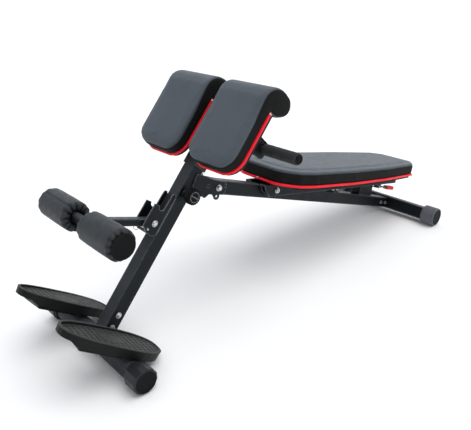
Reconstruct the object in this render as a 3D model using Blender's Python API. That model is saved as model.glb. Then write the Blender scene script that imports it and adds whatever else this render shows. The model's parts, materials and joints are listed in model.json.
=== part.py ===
"""Roman chair: a folding hyperextension and sit-up bench of square steel tube.

Metres, +Z up, +X towards the rear of the machine, the user's left at +Y.
The origin is on the floor, under the middle of the machine.
Each member is modelled along its own axis, in the frame of an empty: local x runs along the member,
local z is its upper side, and local y is the machine's Y.
"""
import math

import bmesh
import bpy
from mathutils import Matrix, Vector

# --- driving dimensions -------------------------------------------------------------------------
GAP = 0.0003                 # between faces that touch
TUBE = 0.040                 # width of the main tubes
WALL = 0.002                 # wall of every steel tube
SHEET = 0.0035               # thickness of gussets and brackets

CENTRE_X = 0.6220            # middle of the machine, measured from the front foot's axis
POST_ANGLE = math.radians(49.5)
POST_FOOT_X = 0.010          # where the post's axis crosses the height of the front foot's axis
POST_DEPTH = 0.0433
POST_BOTTOM = 0.0210
POST_TOP = 0.520

FOOT_RADIUS = 0.0266         # front foot tube
FRONT_CAP_SIDES = 12
FRONT_CAP_FLAT = 0.0328      # from the axis to a flat of the cap
FRONT_HALF = 0.225
FRONT_CAP_START = 0.183

PIVOT = Vector((0.4077, 0.0, 0.3499))
BEAM_ANGLE = math.radians(19.1)
BEAM_HEIGHT = 0.041
REAR_BOLTS = (0.914, 0.947)  # from the pivot
FOLD_ANGLE = math.radians(110)
LOCK_HOLE_REACH = 0.025      # from the pivot to the lock hole

REAR_X = 1.3306
REAR_CAP_RADIUS = 0.0345
REAR_HALF = 0.2337
REAR_CAP_START = 0.1810
REAR_TUBE = (0.040, 0.050)   # along and across the beam

HIP_TUBE = (0.0346, 0.0376)
HIP_TUBE_BOTTOM = 0.296
HIP_TUBE_TOP = 0.690
KNOB_S = 0.436               # along the post
HOLE_PITCH = 0.025
HOLE_COUNT = 6
HIP_BOARD = (0.0245, 0.0363)  # back and front of the boards, from the post's axis
HIP_SIDES = (0.0240, 0.1930)
HIP_BOTTOM = 0.515
HIP_BOARD_TOP = 0.6945
HIP_FACE = 0.0765
HIP_CORNER = 0.050
HANDLE = (0.659, -0.1425)    # along and off the post
HANDLE_RADIUS = 0.0125
GRIP_RADIUS = 0.0170

ARM_PIVOT = (0.327, 0.0425)  # along and off the post
ARM_ANGLE = math.radians(17.5)
ARM_SIZE = (0.025, 0.020)
ROLLER_REACH = 0.1920
ROLLER_RADIUS = 0.0380
ROLLER_SPAN = (0.0290, 0.1723)
LOCK_PIN = (0.3058, 0.0569)  # along and off the post

BENCH_HINGE = (0.230, 0.012)  # along and above the beam's axis, from the pivot
BENCH_ANGLE = math.radians(11.6)
PAD_TOP = 0.0767             # the cushion's top over the hinge
PAD_THICKNESS = 0.045
BOARD_THICKNESS = 0.0118
RAIL_Y = (0.0225, 0.0415)
RAIL_Z = (-0.0190, 0.0192)
RAIL_REAR = 0.717

PROP_PIVOT = (0.586, 0.035)  # along and above the beam's axis, from the pivot
PROP_LENGTH = 0.1299
PROP_ANGLE = math.radians(13.9)

PLATE_CENTRE = Vector((-0.015, 0.117, 0.112))
PLATE_ANGLE = math.radians(36.5)
PLATE_TOE_OUT = math.radians(5)
PLATE_HALF = 0.145           # half the plate's length
PLATE_WIDTHS = (0.047, 0.0555)  # half widths of the heel and the toe
PLATE_DEPTH = 0.0255
TREAD_TILT = (math.radians(2.0), math.radians(-1.2))  # down to the inner side, and to the heel

STEEL_BLACK = ("black_frame", (0.020, 0.021, 0.023), 0.42, 0.35)
ZINC = ("zinc", (0.62, 0.63, 0.64), 0.32, 1.0)
CAP_PLASTIC = ("cap_plastic", (0.045, 0.048, 0.052), 0.55, 0.0)
TREAD_PLASTIC = ("tread_plastic", (0.028, 0.030, 0.030), 0.60, 0.0)
KNOB_PLASTIC = ("knob_plastic", (0.018, 0.018, 0.019), 0.45, 0.0)
FOAM_COVER = ("foam_cover", (0.070, 0.080, 0.095), 0.60, 0.0)
GRIP_FOAM = ("grip_foam", (0.022, 0.022, 0.023), 0.85, 0.0)
VINYL = ("vinyl", (0.105, 0.120, 0.140), 0.48, 0.0)
BOARD = ("board", (0.030, 0.030, 0.031), 0.80, 0.0)
RED_PLASTIC = ("red_plastic", (0.60, 0.020, 0.030), 0.40, 0.0)


# --- helpers ------------------------------------------------------------------------------------
def clear_scene():
    for old in list(bpy.data.objects):
        bpy.data.objects.remove(old, do_unlink=True)


def material(kind):
    name, colour, roughness, metallic = kind
    found = bpy.data.materials.get(name)
    if found is None:
        found = bpy.data.materials.new(name)
        found.use_nodes = True
        shader = found.node_tree.nodes["Principled BSDF"]
        shader.inputs["Base Color"].default_value = (*colour, 1.0)
        shader.inputs["Roughness"].default_value = roughness
        shader.inputs["Metallic"].default_value = metallic
    return found


def empty(name, parent, location, turn_y=0.0, turn_z=0.0):
    made = bpy.data.objects.new(name, None)
    bpy.context.scene.collection.objects.link(made)
    made.parent = parent
    made.location = location
    made.rotation_euler = (0.0, turn_y, turn_z)
    return made


def add(name, bm, kind, parent, location=(0, 0, 0), smooth=False):
    """A named object from a bmesh, with its material, under a parent."""
    bmesh.ops.remove_doubles(bm, verts=bm.verts, dist=1e-6)
    bmesh.ops.recalc_face_normals(bm, faces=bm.faces)
    mesh = bpy.data.meshes.new(name)
    bm.to_mesh(mesh)
    bm.free()
    mesh.materials.append(material(kind))
    if smooth:
        mesh.shade_smooth()
        mesh.set_sharp_from_angle(angle=math.radians(35))
    made = bpy.data.objects.new(name, mesh)
    bpy.context.scene.collection.objects.link(made)
    made.parent = parent
    made.location = location
    return made


def shape(target, bm, operation):
    """Cuts, joins or trims an object with a hidden tool in the object's own frame."""
    count = len(target.modifiers)
    tool = add(f"{target.name}_tool{count}", bm, BOARD, target)
    tool.hide_render = True
    tool.display_type = "WIRE"
    modifier = target.modifiers.new(f"{operation.lower()}{count}", "BOOLEAN")
    modifier.operation = operation
    modifier.solver = "EXACT"
    modifier.object = tool
    return target


def prism(points, low, high, axis="Y", into=None):
    """An outline drawn in the other two axes, in X, Y, Z order, and extruded along one axis."""
    bm = into or bmesh.new()
    place = {
        "X": lambda a, b: (low, a, b),
        "Y": lambda a, b: (a, low, b),
        "Z": lambda a, b: (a, b, low),
    }[axis]
    face = bm.faces.new([bm.verts.new(place(a, b)) for a, b in points])
    grown = bmesh.ops.extrude_face_region(bm, geom=[face])["geom"]
    along = Vector([high - low if letter == axis else 0.0 for letter in "XYZ"])
    moved = [v for v in grown if isinstance(v, bmesh.types.BMVert)]
    bmesh.ops.translate(bm, verts=moved, vec=along)
    return bm


def box(x, y, z, into=None):
    outline = [(x[0], z[0]), (x[1], z[0]), (x[1], z[1]), (x[0], z[1])]
    return prism(outline, y[0], y[1], "Y", into)


def turned(profile, steps=16, axis="Y", centre=(0, 0, 0), closed=False, phase=0.0, into=None):
    """A profile of (along, radius) turned round an axis through centre. A closed profile is a ring."""
    bm = into or bmesh.new()
    direction = Vector([1.0 if letter == axis else 0.0 for letter in "XYZ"])
    out = Vector((0, 0, 1)) if axis != "Z" else Vector((1, 0, 0))
    out = Matrix.Rotation(phase, 3, direction) @ out
    middle = Vector(centre)
    verts = [bm.verts.new(middle + direction * a + out * r) for a, r in profile]
    edges = [bm.edges.new(pair) for pair in zip(verts, verts[1:])]
    if closed:
        edges.append(bm.edges.new((verts[-1], verts[0])))
    bmesh.ops.spin(
        bm, geom=verts + edges, cent=middle, axis=direction, angle=math.tau, steps=steps,
        use_merge=False, use_duplicate=False,
    )
    bmesh.ops.remove_doubles(bm, verts=bm.verts, dist=1e-6)
    return bm


def rod(low, high, radius, steps=16, axis="Y", centre=(0, 0, 0), into=None):
    profile = [(low, 0.0), (low, radius), (high, radius), (high, 0.0)]
    return turned(profile, steps, axis, centre, into=into)


def pipe(low, high, outer, inner, steps=24, axis="Y", centre=(0, 0, 0)):
    profile = [(low, inner), (low, outer), (high, outer), (high, inner)]
    return turned(profile, steps, axis, centre, closed=True)


def arc(centre, radius, start, end, steps):
    """Points on an arc, in degrees."""
    points = []
    for i in range(steps + 1):
        angle = math.radians(start + (end - start) * i / steps)
        points.append((centre[0] + radius * math.cos(angle), centre[1] + radius * math.sin(angle)))
    return points


def rounded_rectangle(x, y, radius, steps=3):
    corners = ((x[1], y[1], 0), (x[0], y[1], 90), (x[0], y[0], 180), (x[1], y[0], 270))
    points = []
    for cx, cy, start in corners:
        centre = (cx - math.copysign(radius, cx - sum(x) / 2), cy - math.copysign(radius, cy - sum(y) / 2))
        points += arc(centre, radius, start, start + 90, steps)
    return points


def mirrored(points):
    """A half outline drawn at positive y, completed on the other side of the middle plane."""
    return points + [(x, -y) for x, y in reversed(points)]


def bolt(name, parent, centre, reach, radius=0.004, head=0.0085, head_length=0.006, steps=12):
    """A through bolt along Y: a head on the right-hand side and a nut on the left."""
    near, far = reach
    profile = [
        (near - head_length, 0.0), (near - head_length, head * 0.75), (near - 0.0015, head * 0.8),
        (near - 0.0015, head), (near, head), (near, radius),
        (far, radius), (far, head), (far + 0.0015, head), (far + 0.0015, head * 0.8),
        (far + head_length, head * 0.75), (far + head_length, 0.0),
    ]
    x, z = centre
    return add(name, turned(profile, steps), ZINC, parent, (x, 0, z), smooth=True)


def rectangular_tube(name, length, width, height, parent, kind=STEEL_BLACK):
    """A tube open at both ends, centred on the local x axis."""
    low, high = length
    outline = rounded_rectangle((-width / 2, width / 2), (-height / 2, height / 2), 0.004)
    tube = add(name, prism(outline, low, high, "X"), kind, parent)
    inside = (width / 2 - WALL, height / 2 - WALL)
    cavity = box((low - 0.01, high + 0.01), (-inside[0], inside[0]), (-inside[1], inside[1]))
    return shape(tube, cavity, "DIFFERENCE")


# --- front foot, post and foot plates -----------------------------------------------------------
def front_foot(root):
    reach = FRONT_HALF - 0.0085
    foot = add("front_foot", rod(-reach, reach, FOOT_RADIUS, 24), STEEL_BLACK, root,
               (0, 0, FRONT_CAP_FLAT), smooth=True)
    inside = (TUBE / 2 - WALL - GAP, POST_DEPTH / 2 - WALL - GAP)
    stub = box((0.0, 0.092), (-inside[0], inside[0]), (-inside[1], inside[1]))
    hollow = box((0.024, 0.1), (-inside[0] + WALL, inside[0] - WALL), (-inside[1] + WALL, inside[1] - WALL))
    to_foot = Matrix.Translation((POST_FOOT_X, 0, 0)) @ Matrix.Rotation(-POST_ANGLE, 4, "Y")
    holes = bmesh.new()
    for s in (0.037, 0.073):
        rod(-0.03, 0.03, 0.0043, 12, centre=(s, 0, 0), into=holes)
    for tool in (stub, hollow, holes):
        bmesh.ops.transform(tool, matrix=to_foot, verts=tool.verts)
    shape(foot, stub, "UNION")
    shape(foot, hollow, "DIFFERENCE")
    shape(foot, holes, "DIFFERENCE")
    shape(foot, rod(-reach - 0.01, reach + 0.01, FOOT_RADIUS - WALL, 24), "DIFFERENCE")
    for side, sign in (("right", -1), ("left", 1)):
        corner = 1 / math.cos(math.pi / FRONT_CAP_SIDES)
        flat = FRONT_CAP_FLAT * corner
        socket = (FOOT_RADIUS + GAP) * corner
        collar = socket + 0.0028
        profile = [
            (FRONT_HALF, 0.0), (FRONT_HALF, flat - 0.004), (FRONT_HALF - 0.003, flat),
            (FRONT_CAP_START + 0.001, flat), (FRONT_CAP_START, collar), (FRONT_CAP_START - 0.008, collar),
            (FRONT_CAP_START - 0.008, socket), (FRONT_HALF - 0.008, socket), (FRONT_HALF - 0.008, 0.0),
        ]
        cap = turned([(a * sign, r) for a, r in profile], FRONT_CAP_SIDES, phase=math.pi / FRONT_CAP_SIDES)
        add(f"front_cap_{side}", cap, CAP_PLASTIC, root, (0, 0, FRONT_CAP_FLAT))


def front_post(post):
    """The square post, the bolts at its foot and the plastic sleeve at its top."""
    tube = rectangular_tube("front_post", (POST_BOTTOM, POST_TOP), TUBE, POST_DEPTH, post)
    holes = bmesh.new()
    for s in (0.037, 0.073):
        rod(-0.03, 0.03, 0.0043, 12, centre=(s, 0, 0), into=holes)
    rod(-0.03, -0.01, 0.0054, 12, centre=(KNOB_S, 0, 0), into=holes)
    shape(tube, holes, "DIFFERENCE")
    half = TUBE / 2 + GAP
    bolt("post_bolt_lower", post, (0.037, 0), (-half, half))
    bolt("post_bolt_upper", post, (0.073, 0), (-half, half))
    outside = (TUBE / 2 + 0.0024, POST_DEPTH / 2 + 0.0024)
    sleeve = add(
        "post_sleeve",
        box((0.511, 0.543), (-outside[0], outside[0]), (-outside[1], outside[1])), CAP_PLASTIC, post)
    skirt = (half, POST_DEPTH / 2 + GAP)
    shape(sleeve, box((0.50, POST_TOP + GAP), (-skirt[0], skirt[0]), (-skirt[1], skirt[1])), "DIFFERENCE")
    bore = (HIP_TUBE[0] / 2 + GAP, HIP_TUBE[1] / 2 + GAP)
    shape(sleeve, box((0.50, 0.56), (-bore[0], bore[0]), (-bore[1], bore[1])), "DIFFERENCE")


def plate_outline(inset, steps=32):
    """A rounded plate outline, a little narrower at the heel than at the toes."""
    heel, toe = PLATE_WIDTHS
    power = 0.72
    points = []
    for i in range(steps):
        c, s = math.cos(math.tau * i / steps), math.sin(math.tau * i / steps)
        x = math.copysign(abs(c) ** power, c)
        width = heel + (toe - heel) * min(1.0, (1 + x) / 1.4)
        points.append((x * (PLATE_HALF - inset), math.copysign(abs(s) ** power, s) * (width - inset)))
    return points


def foot_plates(root):
    """Two tilted plates: a raised rim, a tread that rises to the toes and the outer side, a block below."""
    for side, sign in (("right", -1), ("left", 1)):
        centre = Vector((PLATE_CENTRE.x, sign * PLATE_CENTRE.y, PLATE_CENTRE.z))
        frame = empty(f"foot_plate_frame_{side}", root, centre, PLATE_ANGLE, sign * PLATE_TOE_OUT)
        body = prism(plate_outline(0.0), -PLATE_DEPTH, 0.0, "Z")
        for v in body.verts:
            if v.co.z < -0.01:
                v.co.x *= 0.985
                v.co.y *= 0.96
        plate = add(f"foot_plate_{side}", body, TREAD_PLASTIC, frame)
        tread = prism(plate_outline(0.006), -0.0070, 0.02, "Z")
        tilt = Matrix.Rotation(sign * TREAD_TILT[0], 4, "X") @ Matrix.Rotation(TREAD_TILT[1], 4, "Y")
        bmesh.ops.transform(tread, matrix=tilt, verts=tread.verts)
        slope = [(-0.160, -0.0175), (-0.123, -0.0175), (-0.070, -0.0400), (-0.160, -0.0400)]
        shape(plate, prism(slope, -0.07, 0.07), "DIFFERENCE")
        heel = [(-0.116, -0.012), (0.026, -0.012), (0.022, -0.0345), (-0.094, -0.0345)]
        shape(plate, prism(heel, -0.036, 0.036), "UNION")
        shape(plate, tread, "DIFFERENCE")
        low, high = sorted((sign * 0.171, sign * 0.200))
        relief = rod(low, high, 0.0352, 24, centre=(0, 0, FRONT_CAP_FLAT))
        turn = Matrix.Rotation(sign * PLATE_TOE_OUT, 4, "Z") @ Matrix.Rotation(PLATE_ANGLE, 4, "Y")
        to_plate = (Matrix.Translation(centre) @ turn).inverted()
        bmesh.ops.transform(relief, matrix=to_plate, verts=relief.verts)
        shape(plate, relief, "DIFFERENCE")


# --- fold joint ---------------------------------------------------------------------------------
def post_to_beam_side(point):
    """A place beside the pivot, given in the machine's X and Z, in the post's frame."""
    x, z = PIVOT.x + point[0] - POST_FOOT_X, PIVOT.z + point[1] - FRONT_CAP_FLAT
    c, s = math.cos(POST_ANGLE), math.sin(POST_ANGLE)
    return (x * c + z * s, -x * s + z * c)


def gussets(post):
    """The two plates welded to the post that carry the pivot bolt, each with a lock ear."""
    pivot = post_to_beam_side((0, 0))
    lock = post_to_beam_side((LOCK_HOLE_REACH, 0))
    folded = (LOCK_HOLE_REACH * math.cos(FOLD_ANGLE), -LOCK_HOLE_REACH * math.sin(FOLD_ANGLE))
    ear = post_to_beam_side(folded)
    outline = [(0.497, -0.002), (0.462, -0.008), (0.452, -0.024), (0.452, -0.050)]
    outline += arc((0.461, -0.062), 0.009, 160, 250, 3)
    outline += [(0.469, -0.076), (0.4728, -0.0877)]
    outline += arc(ear, 0.0105, 130, 310, 8)
    outline += [(0.4857, -0.1135)]
    outline += arc(pivot, 0.030, 250, 330, 4)
    outline += [(0.510, -0.062), (0.5035, -0.022)]
    for side, sign in (("right", -1), ("left", 1)):
        low, high = sorted((sign * (TUBE / 2 + GAP), sign * (TUBE / 2 + GAP + SHEET)))
        plate = add(f"pivot_gusset_{side}", prism(outline, low, high), STEEL_BLACK, post)
        holes = bmesh.new()
        for place, radius in ((pivot, 0.0053), (lock, 0.004), (ear, 0.004), ((0.4865, -0.0585), 0.004)):
            rod(low - 0.01, high + 0.01, radius, 12, centre=(place[0], 0, place[1]), into=holes)
        shape(plate, holes, "DIFFERENCE")
    half = TUBE / 2 + SHEET + 2 * GAP
    bolt("pivot_bolt", post, pivot, (-half, half), radius=0.005, head=0.0095, head_length=0.007)


def rear_centre():
    """The middle of the rear foot, along and above the beam's axis."""
    x, z = REAR_X - PIVOT.x, REAR_CAP_RADIUS - PIVOT.z
    c, s = math.cos(BEAM_ANGLE), math.sin(BEAM_ANGLE)
    return (x * c - z * s, x * s + z * c)


def beam(frame):
    """The long tube from the fold joint down to the rear foot."""
    h = BEAM_HEIGHT / 2
    stop = -0.0695
    end = rear_centre()[0] - REAR_TUBE[0] / 2 - GAP
    tube = rectangular_tube("main_beam", (stop, end), TUBE, BEAM_HEIGHT, frame)
    corner = [(stop - 0.01, -0.002), (stop, -0.002), (stop + 0.0115, -h), (stop + 0.0145, -h - 0.005),
              (stop - 0.01, -h - 0.005)]
    shape(tube, prism(corner, -0.03, 0.03), "DIFFERENCE")
    lock = LOCK_HOLE_REACH
    places = [(0.0, 0.0, 0.0053), (*BENCH_HINGE, 0.0053),
              (lock * math.cos(BEAM_ANGLE), lock * math.sin(BEAM_ANGLE), 0.004)]
    places += [(x, 0.0, 0.0043) for x in REAR_BOLTS]
    holes = bmesh.new()
    for x, z, radius in places:
        rod(-0.03, 0.03, radius, 12, centre=(x, 0, z), into=holes)
    shape(tube, holes, "DIFFERENCE")


def rear_foot(frame):
    """The cross tube on the floor, with a stub bolted inside the beam, and its two round caps."""
    reach = REAR_HALF - 0.0085
    x, z = REAR_TUBE
    middle = rear_centre()
    outline = rounded_rectangle((-x / 2, x / 2), (-z / 2, z / 2), 0.006)
    foot = add("rear_foot", prism(outline, -reach, reach), STEEL_BLACK, frame, (middle[0], 0, middle[1]))
    inner = (TUBE / 2 - WALL - GAP, BEAM_HEIGHT / 2 - WALL - GAP)
    front = -x / 2
    stub = box((front - 0.060, front + 0.008), (-inner[0], inner[0]),
               (-inner[1] - middle[1], inner[1] - middle[1]))
    hollow = box((front - 0.070, front - 0.001), (-inner[0] + WALL, inner[0] - WALL),
                 (-inner[1] - middle[1] + WALL, inner[1] - middle[1] - WALL))
    holes = bmesh.new()
    for along in REAR_BOLTS:
        rod(-0.03, 0.03, 0.0043, 12, centre=(along - middle[0], 0, -middle[1]), into=holes)
    shape(foot, stub, "UNION")
    shape(foot, hollow, "DIFFERENCE")
    shape(foot, holes, "DIFFERENCE")
    inside = box((WALL - x / 2, x / 2 - WALL), (-reach - 0.01, reach + 0.01), (WALL - z / 2, z / 2 - WALL))
    shape(foot, inside, "DIFFERENCE")
    half = TUBE / 2 + GAP
    bolt("rear_bolt_front", frame, (REAR_BOLTS[0], 0), (-half, half), head=0.0070)
    bolt("rear_bolt_rear", frame, (REAR_BOLTS[1], 0), (-half, half), head=0.0070)
    steps = 24
    radius = REAR_CAP_RADIUS / math.cos(math.pi / steps)
    level = empty("rear_cap_frame", frame, (middle[0], 0, middle[1]), -BEAM_ANGLE)
    for side, sign in (("right", -1), ("left", 1)):
        profile = [(REAR_CAP_START, 0.0), (REAR_CAP_START, radius - 0.002)]
        profile += [(REAR_CAP_START + 0.002, radius), (REAR_HALF - 0.003, radius)]
        profile += [(REAR_HALF, radius - 0.003), (REAR_HALF, 0.0)]
        body = turned([(a * sign, r) for a, r in profile], steps, phase=math.pi / steps)
        cap = add(f"rear_cap_{side}", body, CAP_PLASTIC, level, smooth=True)
        low, high = sorted((sign * (REAR_CAP_START - 0.01), sign * (reach + GAP)))
        socket = rounded_rectangle((-x / 2 - GAP, x / 2 + GAP), (-z / 2 - GAP, z / 2 + GAP), 0.006)
        socket = prism(socket, low, high)
        bmesh.ops.transform(socket, matrix=Matrix.Rotation(BEAM_ANGLE, 4, "Y"), verts=socket.verts)
        shape(cap, socket, "DIFFERENCE")


# --- hip support --------------------------------------------------------------------------------
def hip_support(post):
    """The sliding tube with its boards, cushions, handle bar and grips."""
    tube = rectangular_tube("hip_post", (HIP_TUBE_BOTTOM, HIP_TUBE_TOP), HIP_TUBE[0], HIP_TUBE[1], post)
    holes = bmesh.new()
    for i in range(HOLE_COUNT):
        rod(-0.03, 0.0, 0.0053, 12, centre=(KNOB_S - HOLE_PITCH * i, 0, 0), into=holes)
    shape(tube, holes, "DIFFERENCE")
    plug = (HIP_TUBE[0] / 2, HIP_TUBE[1] / 2)
    stem = (plug[0] - WALL - GAP, plug[1] - WALL - GAP)
    cap = box((HIP_TUBE_TOP + GAP, HIP_TUBE_TOP + 0.005), (-plug[0], plug[0]), (-plug[1], plug[1]))
    cap = add("hip_post_plug", cap, CAP_PLASTIC, post)
    inner = box((HIP_TUBE_TOP - 0.015, HIP_TUBE_TOP + 0.002), (-stem[0], stem[0]), (-stem[1], stem[1]))
    shape(cap, inner, "UNION")
    front = HIP_TUBE[1] / 2 + GAP
    cross = prism(rounded_rectangle((0.585, 0.672), (-0.150, 0.150), 0.010), front, HIP_BOARD[0] - GAP, "Z")
    add("hip_cross_plate", cross, STEEL_BLACK, post)

    profile = [(HIP_BOTTOM, HIP_BOARD[1] + GAP)]
    profile += [(x, z) for x, z in arc((HIP_BOTTOM + 0.020, HIP_FACE - 0.020), 0.020, 180, 90, 4)]
    profile += [(0.712, HIP_FACE)]
    profile += arc((0.7120, 0.0275), 0.0490, 82, 6, 6)
    profile += [(0.7605, 0.010)]
    profile += arc((0.7325, 0.0075), 0.0280, -10, -120, 5)
    profile += [(0.7035, 0.004), (0.6960, 0.018), (0.6955, HIP_BOARD[1] + GAP)]
    for side, sign in (("right", -1), ("left", 1)):
        low, high = sorted((sign * HIP_SIDES[0], sign * HIP_SIDES[1]))
        plan = [(0.80, low), (0.80, high)]
        plan += arc((HIP_BOTTOM + HIP_CORNER, high - HIP_CORNER), HIP_CORNER, 90, 180, 6)
        plan += arc((HIP_BOTTOM + HIP_CORNER, low + HIP_CORNER), HIP_CORNER, 180, 270, 6)
        plan_board = [(min(x, HIP_BOARD_TOP), y) for x, y in plan]
        add(f"hip_board_{side}", prism(plan_board, *HIP_BOARD, "Z"), BOARD, post)
        pad = add(f"hip_pad_{side}", prism(profile, low - 0.01, high + 0.01), VINYL, post, smooth=True)
        shape(pad, prism(plan, -0.05, 0.10, "Z"), "INTERSECT")

    s, n = HANDLE
    cheek = [(0.600, HIP_TUBE[1] / 2), (0.690, HIP_TUBE[1] / 2), (0.684, -0.060), (0.678, n + 0.005)]
    cheek += arc((s + 0.006, n), 0.0135, 60, -30, 3) + arc((s - 0.018, n), 0.0135, -90, -170, 3)
    cheek += [(0.624, -0.080)]
    for side, sign in (("right", -1), ("left", 1)):
        low, high = sorted((sign * 0.0610, sign * 0.0645))
        plate = add(f"handle_bracket_{side}", prism(cheek, low, high), STEEL_BLACK, post)
        shape(plate, rod(low - 0.01, high + 0.01, HANDLE_RADIUS + GAP, 24, centre=(s, 0, n)), "DIFFERENCE")
    bar = pipe(-0.1935, 0.1935, HANDLE_RADIUS, HANDLE_RADIUS - WALL)
    add("handle_bar", bar, STEEL_BLACK, post, (s, 0, n), smooth=True)
    for side, sign in (("right", -1), ("left", 1)):
        grip = [(0.0680, HANDLE_RADIUS + GAP), (0.0680, GRIP_RADIUS - 0.002), (0.0700, GRIP_RADIUS),
                (0.1905, GRIP_RADIUS), (0.1930, GRIP_RADIUS - 0.0025), (0.1930, HANDLE_RADIUS + GAP)]
        grip = turned([(a * sign, r) for a, r in grip], 24, closed=True)
        add(f"handle_grip_{side}", grip, GRIP_FOAM, post, (s, 0, n), smooth=True)
        stem = HANDLE_RADIUS - WALL - GAP
        plug = [(0.1800, 0.0), (0.1800, stem), (0.1938, stem), (0.1938, 0.0135), (0.1955, 0.0135),
                (0.1967, 0.0120), (0.1967, 0.0)]
        plug = turned([(a * sign, r) for a, r in plug], 24)
        add(f"handle_plug_{side}", plug, KNOB_PLASTIC, post, (s, 0, n), smooth=True)


def height_knob(post):
    """The pull knob on the post's right side, its steel pin and the boss that guides it."""
    face = -TUBE / 2 - GAP
    boss = pipe(face - 0.0095, face, 0.0110, 0.0053, 16)
    add("knob_boss", boss, STEEL_BLACK, post, (KNOB_S, 0, 0), smooth=True)
    start = face - 0.0098
    knob = rod(start - 0.013, start, 0.0145, 20)
    knob = add("height_knob", knob, KNOB_PLASTIC, post, (KNOB_S, 0, 0), smooth=True)
    lobes = 10
    rim = []
    for i in range(lobes * 4):
        angle = math.tau * i / (lobes * 4)
        radius = 0.0225 - 0.0012 * (1 + math.cos(lobes * angle)) / 2
        rim.append((radius * math.cos(angle), radius * math.sin(angle)))
    shape(knob, prism(rim, start - 0.031, start - 0.011), "UNION")
    shape(knob, rod(start - 0.014, start + 0.01, 0.0053, 12), "DIFFERENCE")
    tip = -HIP_TUBE[0] / 2 - GAP
    add("height_pin", rod(start - 0.0137, tip, 0.0050, 12), ZINC, post, (KNOB_S, 0, 0), smooth=True)


# --- leg rollers --------------------------------------------------------------------------------
def roller_bracket(post):
    """Two notched cheeks on the post's front face, joined under the arm, with the arm's bolt and bush."""
    back = POST_DEPTH / 2 + GAP
    notch = 0.0458
    outline = [(0.301, back), (0.414, back)]
    outline += arc((0.4130, back + 0.0065), 0.0065, -20, 90, 4)
    outline += [(0.400, notch - 0.0100)] + arc((0.3740, notch), 0.0100, 270, 90, 8)[1:-1]
    outline += [(0.374, notch + 0.0100), (0.3725, 0.0725), (0.3100, 0.0735)]
    outline += [(0.2962, 0.0550), (0.2940, 0.0300)]
    inner = TUBE / 2 - 0.003
    bracket = add("roller_bracket", prism(outline, -TUBE / 2, -inner), STEEL_BLACK, post)
    shape(bracket, prism(outline, inner, TUBE / 2), "UNION")
    floor = [(0.2988, 0.0585), (0.2962, 0.0550), (0.2940, 0.0300), (0.2970, 0.0300), (0.2991, 0.0540),
             (0.3016, 0.0573)]
    shape(bracket, prism(floor, -TUBE / 2 + 0.001, TUBE / 2 - 0.001), "UNION")
    holes = bmesh.new()
    rod(-0.03, 0.03, 0.0043, 12, centre=(ARM_PIVOT[0], 0, ARM_PIVOT[1]), into=holes)
    rod(-0.03, 0.03, 0.0033, 12, centre=(LOCK_PIN[0], 0, LOCK_PIN[1]), into=holes)
    shape(bracket, holes, "DIFFERENCE")
    half = TUBE / 2 + GAP
    bolt("arm_bolt", post, ARM_PIVOT, (-half, half), head=0.0090)
    bush = pipe(-inner + GAP, inner - GAP, 0.0065, 0.0043, 16)
    add("arm_bush", bush, ZINC, post, (ARM_PIVOT[0], 0, ARM_PIVOT[1]), smooth=True)


def lock_pin(post):
    """The quick-release pin under the arm, and the ring that pulls it."""
    profile = [(-0.0270, 0.0), (-0.0255, 0.0030), (0.0206, 0.0030), (0.0206, 0.0060), (0.0236, 0.0060),
               (0.0236, 0.0022), (0.0330, 0.0022), (0.0330, 0.0)]
    place = (LOCK_PIN[0], 0, LOCK_PIN[1])
    pin = add("arm_lock_pin", turned(profile, 12), ZINC, post, place, smooth=True)
    eye = empty("ring_frame", post, (LOCK_PIN[0], 0.0290, LOCK_PIN[1]), POST_ANGLE)
    hole = rod(-0.004, 0.004, 0.0013, 10, "X")
    turn = Matrix.Translation((0, 0.0290, 0)) @ Matrix.Rotation(POST_ANGLE, 4, "Y")
    bmesh.ops.transform(hole, matrix=turn, verts=hole.verts)
    shape(pin, hole, "DIFFERENCE")
    wire, middle, steps = 0.0008, 0.0095, 28
    ring = bmesh.new()
    turns = [math.tau * i / 6 for i in range(6)]
    section = [(middle + wire * math.cos(turn), wire * math.sin(turn)) for turn in turns]
    verts = [ring.verts.new((0.0, y, -middle + r)) for r, y in section]
    edges = [ring.edges.new((verts[i], verts[(i + 1) % 6])) for i in range(6)]
    bmesh.ops.spin(ring, geom=verts + edges, cent=(0, 0, -middle), axis=(0, 1, 0), angle=math.tau,
                   steps=steps, use_merge=False, use_duplicate=False)
    add("pin_ring", ring, ZINC, eye, smooth=True)


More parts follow.
